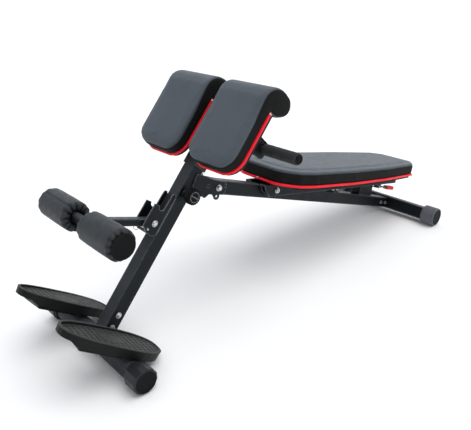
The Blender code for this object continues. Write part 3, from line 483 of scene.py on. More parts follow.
def lathe(bm, profile, place, steps=64, ripple=None, closed=False):
    """Turns a profile of (along Y, radius) pairs about the Y axis of a frame."""
    rings = []
    for along, radius in profile:
        ring = []
        for k in range(steps):
            angle = math.tau * k / steps
            a, r = ripple(angle, along, radius) if ripple else (along, radius)
            ring.append(bm.verts.new(place @ Vector((r * math.cos(angle), a, r * math.sin(angle)))))
        rings.append(ring)
    bridge(bm, rings, closed)
    if not closed:
        bm.faces.new(rings[0])
        bm.faces.new(rings[-1])
    return bm


def tube(bm, points, radius, sides=10, closed=False, ripple=None, up=UP, flat=1.0):
    """A round section swept along points; an open one is closed by small rounded ends."""
    count = len(points)
    rings = []
    for i, point in enumerate(points):
        before = points[i - 1] if (i or closed) else point
        after = points[(i + 1) % count] if (i < count - 1 or closed) else point
        along = (after - before).normalized()
        side = along.cross(up)
        side = side.normalized() if side.length > 1e-6 else along.orthogonal().normalized()
        lift = side.cross(along)
        r = radius * (ripple(i) if ripple else 1.0)
        ring = []
        for k in range(sides):
            turn = math.tau * k / sides
            off = side * (r * math.cos(turn)) + lift * (r * flat * math.sin(turn))
            ring.append(bm.verts.new(point + off))
        rings.append(ring)
    bridge(bm, rings, closed)
    if not closed:
        for ring, end in ((rings[0], points[0] - points[1]), (rings[-1], points[-1] - points[-2])):
            middle = sum((v.co for v in ring), Vector()) / sides
            tip = bm.verts.new(middle + end.normalized() * radius * 0.5)
            for k in range(sides):
                bm.faces.new((ring[k - 1], ring[k], tip))
    return bm


def slab(bm, outline, low, high, place, edge):
    """An outline in a frame's XZ plane, extruded along its Y, with rounded edges."""
    part = bmesh.new()
    lower, upper = ([part.verts.new(Vector((x, y, z))) for x, z in outline] for y in (low, high))
    part.faces.new(lower)
    part.faces.new(upper[::-1])
    bridge(part, [lower, upper])
    bmesh.ops.recalc_face_normals(part, faces=part.faces)
    sharp = [e for e in part.edges if e.calc_face_angle(0) > math.radians(30)]
    bmesh.ops.bevel(part, geom=sharp, offset=edge, segments=2, profile=0.5, affect="EDGES")
    bmesh.ops.transform(part, matrix=place, verts=part.verts)
    mesh = bpy.data.meshes.new("part")
    part.to_mesh(mesh)
    part.free()
    bm.from_mesh(mesh)
    bpy.data.meshes.remove(mesh)


def arc(centre, radius, start, end, steps):
    """Points on an arc, with its angles in degrees."""
    turns = [math.radians(start + (end - start) * k / steps) for k in range(steps + 1)]
    return [(centre[0] + radius * math.cos(a), centre[1] + radius * math.sin(a)) for a in turns]


def rounded_profile(points, radius, steps=4):
    """An open profile with its corners rounded."""
    found = [points[0]]
    for before, here, after in zip(points, points[1:], points[2:]):
        corner = Vector(here)
        one, two = Vector(before) - corner, Vector(after) - corner
        r = min(radius, one.length * 0.45, two.length * 0.45)
        start, end = corner + one.normalized() * r, corner + two.normalized() * r
        for k in range(steps + 1):
            t = k / steps
            found.append(tuple(start * (1 - t) ** 2 + corner * 2 * t * (1 - t) + end * t ** 2))
    return found + [points[-1]]


def spline(points, closed=False, spacing=3 * MM):
    """Points resampled evenly along a smooth curve through the given ones."""
    count = len(points)
    fine = []
    for i in range(count if closed else count - 1):
        p1, p2 = points[i], points[(i + 1) % count]
        p0 = points[i - 1] if (i or closed) else p1 * 2 - p2
        p3 = points[(i + 2) % count] if (i < count - 2 or closed) else p2 * 2 - p1
        for k in range(12):
            t = k / 12
            fine.append(0.5 * ((2 * p1) + (p2 - p0) * t + (2 * p0 - 5 * p1 + 4 * p2 - p3) * t * t
                               + (3 * p1 - p0 - 3 * p2 + p3) * t ** 3))
    if not closed:
        fine.append(points[-1])
    return resample(fine, spacing, closed)


def resample(points, spacing, closed=False):
    """The same line with evenly spaced points."""
    line = points + [points[0]] if closed else points
    lengths = [0.0]
    for a, b in zip(line, line[1:]):
        lengths.append(lengths[-1] + (b - a).length)
    steps = max(2, round(lengths[-1] / spacing))
    found = []
    i = 0
    for k in range(steps if closed else steps + 1):
        want = lengths[-1] * k / steps
        while i < len(lengths) - 2 and lengths[i + 1] < want:
            i += 1
        gap = max(lengths[i + 1] - lengths[i], 1e-9)
        found.append(line[i].lerp(line[i + 1], min(1.0, (want - lengths[i]) / gap)))
    return found


# --- cushions -----------------------------------------------------------------------------------
def hip_inset(p):
    """How far a point of a hip cushion, in the post's frame, lies inside the slate panel's outline."""
    half = (HIP_SIDES[1] - HIP_SIDES[0]) / 2
    off = abs(abs(p.y) - (HIP_SIDES[0] + HIP_SIDES[1]) / 2)
    out = SEAM_OUT + 3.5 * MM * clamp((HIP_CURL - p.x) / 0.170)
    inset = half - off + out
    down = HIP_BOTTOM + HIP_CORNER - p.x
    across = off - (half - HIP_CORNER)
    if down > 0:
        inset = HIP_CORNER - (math.hypot(down, across) if across > 0 else down) + out
    if p.x < HIP_BOARD_TOP:
        inset = min(inset, p.z - (HIP_FACE - HIP_SEAM_DROP) + SEAM_INSET)
    return inset


def bench_inset(p):
    """How far a point of the back cushion, in the back's frame, lies inside the slate panel's outline."""
    inset = 1.0
    y = abs(p.y)
    ends = ((BENCH_HALF[0][0], 0.0),) + BENCH_HALF + ((BENCH_HALF[-1][0], 0.0),)
    for (x0, y0), (x1, y1) in zip(ends, ends[1:]):
        length = math.hypot(x1 - x0, y1 - y0)
        inset = min(inset, ((x1 - x0) * (y0 - y) - (y1 - y0) * (x0 - p.x)) / length)
    return min(inset + SEAM_OUT, p.z - (BENCH_TOP - BENCH_SEAM_DROP) + SEAM_INSET)


def evaluated(made):
    """A new mesh of an object as its modifiers leave it."""
    return bpy.data.meshes.new_from_object(made.evaluated_get(bpy.context.evaluated_depsgraph_get()))


def remeshed(name, solid, voxel, rounding):
    """A working object with a solid's form in fine, even faces, its edges rounded by so many passes."""
    pad = bpy.data.objects.new(name + "_work", solid)
    SCENE.collection.objects.link(pad)
    pad.modifiers.new("weld", "WELD").merge_threshold = 0.02 * MM
    remesh = pad.modifiers.new("remesh", "REMESH")
    remesh.mode = "VOXEL"
    remesh.voxel_size = voxel
    soften = pad.modifiers.new("soften", "SMOOTH")
    soften.factor = 0.5
    soften.iterations = rounding
    mesh = evaluated(pad)
    pad.modifiers.clear()
    pad.data = mesh
    return pad


def blow_up(pad, held, slack, cap, fullness):
    """Fills a cover with foam: a cloth under pressure, whose swelling past its mean is limited to a cap."""
    mesh = pad.data
    normals = [v.normal.copy() for v in mesh.vertices]
    group = pad.vertex_groups.new(name="held")
    for v, normal, base in zip(mesh.vertices, normals, held):
        v.co -= normal * slack * (1 - base)
        group.add([v.index], base, "REPLACE")
    start = [v.co.copy() for v in mesh.vertices]
    cloth = pad.modifiers.new("cloth", "CLOTH")
    cloth.settings.vertex_group_mass = "held"
    cloth.settings.use_pressure = True
    cloth.settings.uniform_pressure_force = 4.0
    cloth.settings.effector_weights.gravity = 0.0
    cloth.settings.quality = 4
    cloth.settings.tension_stiffness = 8.0
    cloth.settings.compression_stiffness = 8.0
    cloth.point_cache.frame_start = 1
    cloth.point_cache.frame_end = CLOTH_FRAMES
    for number in range(1, CLOTH_FRAMES + 1):
        SCENE.frame_set(number)
    blown = pad.evaluated_get(bpy.context.evaluated_depsgraph_get()).data
    swells = [(b.co - s).dot(n) for b, s, n in zip(blown.vertices, start, normals)]
    free = [swell for swell, base in zip(swells, held) if base < 0.01]
    middle = sum(free) / len(free)
    pad.modifiers.clear()
    for v, s, n, swell, base in zip(mesh.vertices, start, normals, swells, held):
        lift = cap * math.tanh((swell - middle) / cap) + fullness(s)
        v.co = s + n * (slack + lift) * (1 - base)
    SCENE.frame_set(1)


def stuffed(name, node, to_row, is_base, voxel, rounding, slack, cap, fullness):
    """A CAD soft solid as a stuffed form, blown up as cloth from the base that its board holds."""
    solid = NODES[node].data.copy()
    solid.transform(to_row.inverted())
    pad = remeshed(name, solid, voxel, rounding)
    held = [is_base(v.co) for v in pad.data.vertices]
    blow_up(pad, held, slack, cap, fullness)
    fine = pad.modifiers.new("fine", "SUBSURF")
    fine.levels = fine.render_levels = 1
    result = evaluated(pad)
    result.transform(to_row)
    bpy.data.objects.remove(pad)
    return result


def mark_inset(mesh, to_row, inset):
    """Stores each vertex's distance inside the panel's outline, and presses the seam's valley."""
    to_local = to_row.inverted()
    values = [inset(to_local @ v.co) for v in mesh.vertices]
    normals = [v.normal.copy() for v in mesh.vertices]
    for v, value, normal in zip(mesh.vertices, values, normals):
        near = max(0.0, 1 - abs(value - SEAM_INSET) / (6 * MM))
        pucker = noise.noise(v.co * 70) * 0.35 * MM
        v.co -= normal * ((1.1 * MM + pucker) * near * near)
    store(mesh, "inset", values)
    mesh.update()


def seam_lines(mesh, keep):
    """The lines on a mesh along which the stored inset equals the seam's, as points with normals."""
    values = [d.value - SEAM_INSET for d in mesh.attributes["inset"].data]
    links = {}
    places = {}

    def crossing(a, b):
        key = (min(a, b), max(a, b))
        if key not in places:
            t = values[a] / (values[a] - values[b])
            va, vb = mesh.vertices[a], mesh.vertices[b]
            places[key] = (va.co.lerp(vb.co, t), va.normal.lerp(vb.normal, t))
        return key

    for face in mesh.polygons:
        ids = list(face.vertices)
        cuts = [crossing(a, b) for a, b in zip(ids, ids[1:] + ids[:1]) if (values[a] < 0) != (values[b] < 0)]
        if len(cuts) == 2 and keep(places[cuts[0]][0]) and keep(places[cuts[1]][0]):
            links.setdefault(cuts[0], []).append(cuts[1])
            links.setdefault(cuts[1], []).append(cuts[0])
    lines = []
    used = set()
    for start in [k for k in links if len(links[k]) == 1] + list(links):
        chain = []
        onward = [start] if start not in used else []
        while onward:
            chain.append(onward[0])
            used.add(onward[0])
            onward = [k for k in links[chain[-1]] if k not in used]
        if len(chain) > 20:
            lines.append([places[k] for k in chain])
    return lines


def smooth_line(line, closed):
    """A seam line with its small steps evened out."""
    for _ in range(6):
        evened = [(a + b * 2 + c) / 4 for a, b, c in zip(line[-1:] + line, line, line[1:] + line[:1])]
        line = evened if closed else [line[0]] + evened[1:-1] + [line[-1]]
    return line


def sew(name, mesh, body, keep):
    """Lays the seam's raised welt, and returns the top-stitching beside it, not yet made a piece."""
    welt, stitches = bmesh.new(), bmesh.new()
    for line in seam_lines(mesh, keep):
        closed = (line[0][0] - line[-1][0]).length < 6 * MM
        points = resample(smooth_line([point for point, _ in line], closed), 2 * MM, closed)
        tube(welt, points, 0.85 * MM, sides=6, closed=closed)
        step = max(1, len(line) // max(1, len(points)))
        route = resample(points, STITCH_PITCH, closed)
        cursor = 0
        for start, onward in zip(route, route[1:]):
            end = start.lerp(onward, STITCH_SHARE)
            middle = (start + end) / 2
            first = max(0, cursor - 12 * step)
            window = line[first:cursor + 24 * step] or line
            best = min(range(len(window)), key=lambda k: (window[k][0] - middle).length_squared)
            cursor = first + best
            normal = window[best][1].normalized()
            shift = (end - start).normalized().cross(normal) * STITCH_SHIFT
            stitch = [start + shift, middle + shift + normal * 0.25 * MM, end + shift]
            tube(stitches, stitch, 0.42 * MM, sides=5, up=normal)
    piece(name + "_seam", welt, "thread", body)
    return stitches


def mirror_mesh(mesh):
    """The mesh of the other side's cushion."""
    made = mesh.copy()
    made.transform(Matrix.Scale(-1, 4, (0, 1, 0)))
    made.flip_normals()
    return made


def staple(bm, place, along, out, radius=4.6 * MM):
    """A bright clip of two wires over the end of a piping."""
    across = along.cross(out).normalized()
    ring = [place + across * a + out * b for a, b in arc((0, 0), radius, -25, 205, 10)]
    for shift in (-0.9 * MM, 0.9 * MM):
        tube(bm, [p + along * shift for p in ring], 0.8 * MM, sides=8, up=along)


def hip_held(p):
    """1 where a hip cushion is held by its board and 0 where it is free."""
    return clamp((HIP_BOARD_FACE + HELD_UP_TO - p.z) / (6 * MM)) if p.x < HIP_CURL else 0.0


def bench_held(p):
    """1 where the back cushion is held by its board and 0 where it is free."""
    return clamp((BENCH_BOTTOM + HELD_UP_TO - p.z) / (6 * MM))


def hip_fullness(p):
    """How far a hip cushion's foam stands out, more so in the curl at its top."""
    return (2.4 + 2.2 * clamp((p.x - 0.66) / 0.07)) * MM


def hip_piping(side, sign):
    """The piping round a hip cushion's lower outline, and a clip on each of its ends."""
    low, high = HIP_SIDES
    out, level, top = 0.6 * MM, HIP_BOARD_FACE + 1.2 * MM, HIP_BOARD_TOP + 1 * MM
    turn = HIP_BOTTOM + HIP_CORNER
    plan = [(top, high + out), (0.640, high + out), (turn, high + out)]
    plan += arc((turn, high - HIP_CORNER), HIP_CORNER + out, 90, 180, 8)[1:]
    plan += arc((turn, low + HIP_CORNER), HIP_CORNER + out, 180, 270, 8)
    plan += [(0.640, low - out), (top, low - out)]
    route = spline([POST @ Vector((x, sign * y, level)) for x, y in plan])
    cord = tube(bmesh.new(), route, PIPING_RADIUS, 12)
    piece(f"hip_piping_{side}", cord, "red_plastic", "hip_carriage")
    clips = bmesh.new()
    along = POST.to_3x3() @ Vector((1, 0, 0))
    for y, way in ((high + out, 1), (low - out, -1)):
        staple(clips, POST @ Vector((top - 3 * MM, sign * y, level)), along, Vector((0, sign * way, 0)))
    piece(f"hip_piping_clips_{side}", clips, "zinc", "hip_carriage")


def hip_cushions():
    """The two hip cushions with their seams, stitches and piping."""
    right = stuffed("hip_cushion", "hip_pad_right", POST, hip_held, voxel=4.5 * MM, rounding=6,
                    slack=1.5 * MM, cap=0.9 * MM, fullness=hip_fullness)
    mark_inset(right, POST, hip_inset)
    to_post = POST.inverted()

    def shows(p):
        local = to_post @ p
        return local.x > HIP_CURL or local.z > HIP_BOARD_FACE + 16 * MM

    for side, sign in SIDES:
        mesh = right if sign < 0 else mirror_mesh(right)
        cushion = dress(f"hip_cushion_{side}", mesh, "vinyl", "hip_carriage", [f"hip_pad_{side}"], 180)
        stitches = sew(f"hip_cushion_{side}", mesh, "hip_carriage", shows)
        piece(f"hip_stitches_{side}", stitches, "thread", "hip_carriage")
        hip_piping(side, sign)


def back_piping():
    """A closed loop of piping round the back cushion's lower outline, with a clip at its front."""
    out = 0.4 * MM
    half = [(x, y + out) for x, y in BENCH_HALF]
    half = [(half[0][0] - out, half[0][1] - 18 * MM)] + half + [(half[-1][0] + out, half[-1][1] - 18 * MM)]
    outline = [Vector(p) for p in half + [(x, -y) for x, y in reversed(half)]]
    corners = []
    for before, here, after in zip(outline[-1:] + outline, outline, outline[1:] + outline[:1]):
        one, two = before - here, after - here
        r = min(16 * MM, one.length * 0.4, two.length * 0.4)
        start, end = here + one.normalized() * r, here + two.normalized() * r
        corners += [start, (start + end + here * 2) / 4, end]
    level = BENCH_BOTTOM + 0.6 * MM
    route = spline([BACK @ Vector((p.x, p.y, level)) for p in corners], closed=True)
    piece("back_piping", tube(bmesh.new(), route, PIPING_RADIUS, 12, closed=True), "red_plastic", "back_rest")
    clips = bmesh.new()
    front = BACK @ Vector((BENCH_HALF[0][0] - 0.5 * MM, 0.0, level))
    place = min(route, key=lambda p: (p - front).length)
    i = route.index(place)
    along = (route[(i + 1) % len(route)] - route[i - 1]).normalized()
    staple(clips, place, along, BACK.to_3x3() @ Vector((-1, 0, 0)))
    piece("back_piping_clip", clips, "zinc", "back_rest")


def back_cushion():
    """The tapered back cushion with its seam, stitches and piping."""
    mesh = stuffed("back_cushion", "back_pad", BACK, bench_held, voxel=5 * MM, rounding=2,
                   slack=1.5 * MM, cap=1.5 * MM, fullness=lambda p: 1.4 * MM)
    mark_inset(mesh, BACK, bench_inset)
    cushion = dress("back_cushion", mesh, "vinyl", "back_rest", ["back_pad"], 180)
    to_back = BACK.inverted()
    stitches = sew("back_cushion", mesh, "back_rest", lambda p: (to_back @ p).z > BENCH_BOTTOM + 18 * MM)
    piece("back_stitches", stitches, "thread", "back_rest")
    back_piping()


# --- rollers and grips --------------------------------------------------------------------------
def roller_profile():
    """A roller cover's closed profile, from the hole round the bar over the foam and back."""
    low, high = ROLLER_ENDS
    inner = (low + ROLLER_ROUND, ROLLER_RADIUS - ROLLER_ROUND)
    outer = (high - ROLLER_ROUND, ROLLER_RADIUS - ROLLER_ROUND)
    profile = [(low + 10.0 * MM, ROLLER_BORE), (low + 9.0 * MM, 0.0180), (low + 4.0 * MM, 0.0198),
               (low + 1.0 * MM, 0.0215)]
    profile += arc(inner, ROLLER_ROUND, 174, 90, 14)
    profile += [(inner[0] + (outer[0] - inner[0]) * k / 22, ROLLER_RADIUS) for k in range(1, 22)]
    profile += arc(outer, ROLLER_ROUND, 90, 6, 14)
    return profile + [(high - 0.6 * MM, 0.0215), (high - 2.5 * MM, 0.0170), (high - 5.0 * MM, ROLLER_BORE)]


def roller_cover(side, sign, place):
    """A sewn cover with a lapped seam along it, gathered in pleats over both ends of its foam."""
    low, high = ROLLER_ENDS
    rng = random.Random(5 + sign)
    pleats = [(math.tau * (k + rng.uniform(-0.16, 0.16)) / 13, rng.uniform(0.7, 1.15)) for k in range(13)]
    lap = math.radians(112 if sign > 0 else 250)

    def pleat(angle, along):
        """How near the inner and the outer end are, and how deep in a pleat's valley the angle is."""
        inner = max(0.0, 1 - (along - low) / (15 * MM))
        outer = max(0.0, 1 - (high - along) / (13 * MM))
        valley = 0.0
        for centre, size in pleats:
            turn = abs((angle - centre + math.pi) % math.tau - math.pi)
            valley = max(valley, size * math.exp(-(turn / 0.13) ** 2))
        return inner, outer, valley

    def gather(angle, along, r):
        """A profile's point moved by the cover's crown, waves, pleats and lap."""
        if r < 0.0190:
            return along, r
        inner, outer, valley = pleat(angle, along)
        crown = 0.5 * MM * math.sin(math.pi * (along - low) / (high - low))
        place_in_noise = Vector((math.cos(angle) * 2, along * 30, math.sin(angle) * 2 + sign * 5))
        wave = noise.noise(place_in_noise) * 0.5 * MM
        fade = max(inner, outer) ** 1.1
        pull = valley * fade * (7.0 * MM if inner > outer else 5.5 * MM)
        puff = (1 - valley) * fade * 0.9 * MM
        past = (lap - angle) % math.tau
        fold = 1.1 * MM * math.exp(-past / 0.35) * min(1.0, past / 0.02)
        toward = max(0.0, (r - (ROLLER_RADIUS - ROLLER_ROUND)) / ROLLER_ROUND)
        inward = pull * (0.45 + 0.15 * toward)
        sink = pull * (1 - toward) * (1 if inner > outer else -1)
        return along + sink, r + crown + wave + (puff + fold) * toward - inward

    def shade(p):
        """How much painted shade the cover gets at a place: in its pleats, along its seam and in the hole."""
        local = place.inverted() @ p
        angle = math.atan2(local.z, local.x) % math.tau
        inner, outer, valley = pleat(angle, local.y)
        seam = math.exp(-(((angle - lap + math.pi) % math.tau - math.pi) / 0.045) ** 2)
        hole = 1.0 if math.hypot(local.x, local.z) < 0.0200 else 0.0
        return min(1.0, max(valley ** 1.5 * min(1.0, 2.2 * max(inner, outer)), 0.8 * seam, hole))

    cover = lathe(bmesh.new(), roller_profile(), place, steps=240, ripple=gather, closed=True)
    cover = piece(f"roller_cover_{side}", cover, "foam_cover", f"roller_{side}", [f"leg_roller_{side}"], 180)
    # Painted shade, stored on the mesh for the material to darken the cover with.
    store(cover.data, "painted_shade", [shade(v.co) for v in cover.data.vertices])


def rollers():
    """The covers of the two leg rollers, and the discs that close their outer ends."""
    seat, rim, face = (ROLLER_ENDS[1] + step for step in (0.3 * MM, 3.0 * MM, 2.4 * MM))
    disc = [(0.1548, ON_AXIS), (0.1548, 0.0100), (seat, 0.0100), (seat, 0.0308), (rim, 0.0308), (rim, 0.0286),
            (face, 0.0280), (face, ON_AXIS)]
    disc = rounded_profile(disc, 0.9 * MM)
    for side, sign in SIDES:
        place = mirrored(ROLLER_AXIS, sign)
        roller_cover(side, sign, place)
        piece(f"roller_disc_{side}", lathe(bmesh.new(), disc, place, 96), "knob_plastic", "leg_arm",
              [f"roller_cap_{side}"])


def handle_grips():
    """The foam sleeves on the handle bar and the plugs in its ends."""
    sleeve = [(0.0680, 0.0128), (0.0680, 0.0146), (0.0704, 0.0169)]
    sleeve += [(0.0704 + 0.1200 * k / 24, 0.0170) for k in range(1, 24)]
    sleeve += [(0.1906, 0.0169), (0.1930, 0.0148), (0.1930, 0.0128)]
    sleeve = rounded_profile(sleeve, 1.6 * MM)
    plug = [(0.1800, ON_AXIS), (0.1800, 0.0100), (0.1934, 0.0100), (0.1934, 0.0136), (0.1962, 0.0136),
            (0.1962, 0.0102), (0.1948, 0.0098), (0.1948, 0.0068), (0.1964, 0.0064), (0.1964, ON_AXIS)]
    plug = rounded_profile(plug, 0.7 * MM)
    for side, sign in SIDES:
        place = mirrored(POST @ Vector((HANDLE[0], 0, HANDLE[1])), sign)

        def squeeze(angle, along, r):
            lump = noise.noise(Vector((math.cos(angle) * 3, along * 60 + sign, math.sin(angle) * 3)))
            return along, r + (0.28 * MM * lump if r > 0.0165 else 0.0)

        grip = lathe(bmesh.new(), sleeve, place, 72, squeeze, closed=True)
        grip = piece(f"grip_cover_{side}", grip, "grip_foam", "hip_carriage", [f"handle_grip_{side}"], 50)
        piece(f"grip_plug_{side}", lathe(bmesh.new(), plug, place, 72), "knob_plastic", "hip_carriage",
              [f"handle_plug_{side}"])


# --- feet ---------------------------------------------------------------------------------------
def plate_point(turn, inset, half=0.145, heel=0.047, toe=0.0555, power=0.72):
    """A point on a foot plate's outline, moved inwards."""
    c, s = math.cos(turn), math.sin(turn)
    x = math.copysign(abs(c) ** power, c)
    width = heel + (toe - heel) * min(1.0, (1 + x) / 1.4)
    return x * (half - inset), math.copysign(abs(s) ** power, s) * (width - inset)


def tread_height(x, y):
    """The tread's relief: staggered dimples round a plain raised oval with two bars."""
    oval = math.hypot(x / 0.034, y / 0.024)
    if oval < 1.0:
        rim = max(0.0, 1 - abs(oval - 0.93) / 0.07)
        bar = 1.0 if abs(abs(y) - 0.006) < 0.002 and abs(x) < 0.020 else 0.0
        return 0.5 * MM * rim + 0.4 * MM * bar
    pitch, apart = DIMPLE_PITCH
    row = round(x / pitch)
    shift = apart / 2 if row % 2 else 0.0
    dx = x - row * pitch
    dy = (y - shift + apart / 2) % apart - apart / 2
    dimple = max(0.0, 1 - (dx / DIMPLE_HALF[0]) ** 2 - (dy / DIMPLE_HALF[1]) ** 2)
    return -1.9 * MM * dimple ** 0.6


def tread(side, place):
    """A foot plate's dimpled mat, with a small lip round it and a skirt down into the plate."""
    mat = bmesh.new()
    across, along = 100, 240
    grid = []
    for i in range(along + 1):
        x, y_edge = plate_point(math.pi * (1 - i / along), 6.1 * MM)
        row = []
        for k in range(across + 1):
            v = 2 * k / across - 1
            lip = max(0.0, 1 - (1 - abs(v)) / 0.06) if 3 < i < along - 3 else 1.0
            relief = tread_height(x, y_edge * v) * (1 - lip)
            row.append(mat.verts.new(Vector((x, y_edge * v, TREAD_LEVEL + relief + 1.2 * MM * lip ** 2))))
        grid.append(row)
    for one, two in zip(grid, grid[1:]):
        for k in range(across):
            mat.faces.new((one[k], two[k], two[k + 1], one[k + 1]))
    edge = grid[0] + [row[-1] for row in grid[1:-1]] + grid[-1][::-1] + [row[0] for row in grid[-2:0:-1]]
    low = [mat.verts.new(Vector((v.co.x, v.co.y, TREAD_UNDERSIDE))) for v in edge]
    bridge(mat, [low, edge])
    mat.faces.new(low)
    bmesh.ops.transform(mat, matrix=place, verts=mat.verts)
    made = piece(f"foot_tread_{side}", mat, "tread_top", "base", sharp=50)
    local = [place.inverted() @ v.co for v in made.data.vertices]
    # Painted shade in the dimples: the deeper, the darker.
    store(made.data, "painted_shade", [clamp(-tread_height(p.x, p.y) / (1.5 * MM)) for p in local])


def foot_treads():
    """The moulded tread, the rounded rim and the ribbed heel of each foot plate."""
    for side, sign in SIDES:
        place = PLATES[side]
        roll, pitch = math.radians(TREAD_TILT[0] * sign), math.radians(TREAD_TILT[1])
        tread(side, place @ Matrix.Rotation(roll, 4, "X") @ Matrix.Rotation(pitch, 4, "Y"))

        rim = [place @ Vector((*plate_point(math.tau * k / 160, 2.9 * MM), -0.6 * MM)) for k in range(160)]
        rim = resample(rim, 4 * MM, closed=True)
        rim = tube(bmesh.new(), rim, 3.2 * MM, 12, closed=True, up=place.to_3x3() @ UP, flat=0.55)
        piece(f"foot_rim_{side}", rim, "tread_top", "base")

        ribs = bmesh.new()
        for x in (-0.078, -0.052, -0.026, 0.000):
            low, high = x - 1.2 * MM, x + 1.2 * MM
            outline = [(low, -0.012), (high, -0.012), (high, -0.0335), (low, -0.0335)]
            slab(ribs, outline, -0.0372, 0.0372, place, 0.5 * MM)
        skirt = [(-0.108, -0.0235), (0.024, -0.0235), (0.024, -0.0255), (-0.106, -0.0255)]
        slab(ribs, skirt, -0.0378, 0.0378, place, 0.6 * MM)
        piece(f"foot_heel_ribs_{side}", ribs, "tread_plastic", "base")


def front_cap_faces():
    """A dark disc with a raised rim on the end of each twelve-sided cap."""
    disc = [(0.2252, ON_AXIS), (0.2259, 0.0018), (0.2259, 0.0022), (0.2255, 0.0030), (0.2256, 0.0268),
            (0.2262, 0.0274), (0.2262, 0.0282), (0.2254, 0.0290), (0.2230, 0.0290), (0.2230, ON_AXIS)]
    disc = rounded_profile(disc, 0.4 * MM)
    for side, sign in SIDES:
        place = mirrored((FRONT_X, 0, FRONT_Z), sign)
        piece(f"front_cap_face_{side}", lathe(bmesh.new(), disc, place, 96), "knob_plastic", "base")


def rear_caps():
    """The round rear caps, finely ribbed along their length, and the dark discs on their ends."""
    start, end, radius = 0.1810, 0.2337, 0.0345
    profile = [(start, ON_AXIS), (start, 0.0320), (start + 1.5 * MM, 0.0341), (start + 4 * MM, radius)]
    profile += [(start + 4 * MM + (end - start - 10 * MM) * k / 8, radius) for k in range(1, 9)]
    profile += [(end - 3.2 * MM, 0.0341), (end - 1.0 * MM, 0.0333), (end - 0.2 * MM, 0.0312), (end, 0.0295),
                (end - 0.1 * MM, 0.0280), (end - 0.9 * MM, 0.0272), (end - 1.0 * MM, 0.0262),
                (end - 1.4 * MM, 0.0262), (end - 1.4 * MM, ON_AXIS)]
    face = [(end - 2.0 * MM, ON_AXIS), (end - 2.0 * MM, 0.0300), (end - 0.4 * MM, 0.0306),
            (end + 0.1 * MM, 0.0298), (end + 0.1 * MM, 0.0282), (end - 0.7 * MM, 0.0274),
            (end - 0.8 * MM, 0.0262), (end - 0.8 * MM, ON_AXIS)]

    def ribbed(angle, along, r):
        inside = start + 2 * MM < along < end - 5 * MM
        ridge = max(0.0, math.cos(angle * REAR_RIBS)) ** 0.5
        return along, r - (0.75 * MM * ridge if inside and r > 0.0343 else 0.0)

    for side, sign in SIDES:
        low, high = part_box(f"rear_cap_{side}")
        axis = (low + high) / 2
        place = mirrored((axis.x, 0, axis.z), sign)
        cap = lathe(bmesh.new(), profile, place, REAR_RIBS * 8, ribbed)
        piece(f"rear_foot_cap_{side}", cap, "ribbed_plastic", "beam", [f"rear_cap_{side}"], 50)
        piece(f"rear_cap_face_{side}", lathe(bmesh.new(), face, place, 96), "knob_plastic", "beam")


# --- knob, bolts, welds and small parts ---------------------------------------------------------
def pull_knob():
    """The lobed pull knob, with a raised ring and a slanting bar on its face."""
    low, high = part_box("height_knob")
    axis = (low + high) / 2
    place = Matrix.Translation((axis.x, low.y, axis.z))
    profile = [(0.0006, ON_AXIS), (0.0006, 0.0120), (0.0, 0.0125), (0.0, 0.0150), (0.0006, 0.0155),
               (0.0004, 0.0190), (0.0012, 0.0208), (0.0030, 0.0222), (0.0060, 0.0224), (0.0100, 0.0225),
               (0.0150, 0.0225), (0.0178, 0.0220), (0.0195, 0.0200), (0.0200, 0.0165), (0.0204, 0.0148),
               (0.0240, 0.0146), (0.0300, 0.0144), (0.0308, 0.0138), (0.0309, 0.0055), (0.0309, ON_AXIS)]

    def lobed(angle, along, r):
        grip = clamp((r - 0.0185) / 0.003)
        return along, r - grip * 1.5 * MM * max(0.0, math.cos(angle * 20)) ** 0.7

    piece("pull_knob", lathe(bmesh.new(), profile, place, 240, lobed), "knob_plastic", "height_pull",
          ["height_knob"], 45)
    ring = [(-0.0003, 0.0128), (-0.0006, 0.0133), (-0.0006, 0.0145), (-0.0003, 0.0150), (0.0004, 0.0150),
            (0.0004, 0.0128)]
    ring = lathe(bmesh.new(), ring, place, 96, closed=True)
    bar = [(-0.0120, -0.0017), (0.0120, -0.0017), (0.0120, 0.0017), (-0.0120, 0.0017)]
    slab(ring, bar, -0.0007, 0.0010, place @ Matrix.Rotation(math.radians(38), 4, "Y"), 0.5 * MM)
    piece("pull_knob_ring", ring, "ring_plastic", "height_pull")


def hexagon(bm, radius, low, high, place, socket=0.0):
    """A chamfered hexagon head from its seat (low) to its top (high), with or without a socket."""
    way = 1 if high > low else -1
    rows = [(low, radius, False), (high - way * 0.9 * MM, radius, False), (high, radius * 0.86, True)]
    if socket:
        rows += [(high, socket, False), (high - way * 2.4 * MM, socket, False)]
    rings = []
    for level, r, chamfered in rows:
        ring = []
        for k in range(36):
            a = math.tau * k / 36
            facet = math.cos(math.pi / 6) / math.cos((a % (math.pi / 3)) - math.pi / 6)
            reach = min(r * 1.08 * facet, r) if chamfered else r * facet
            ring.append(bm.verts.new(place @ Vector((reach * math.cos(a), level, reach * math.sin(a)))))
        rings.append(ring)
    bridge(bm, rings)
    bm.faces.new(rings[0])
    bm.faces.new(rings[-1])


def dome(seat, top, reach, steps):
    """A domed head's profile, from the rim of its seat up to near its top."""
    turns = [math.radians(90 * k / steps) for k in range(1, steps)]
    return [(seat, reach)] + [(seat + (top - seat) * math.sin(t), reach * math.cos(t)) for t in turns]


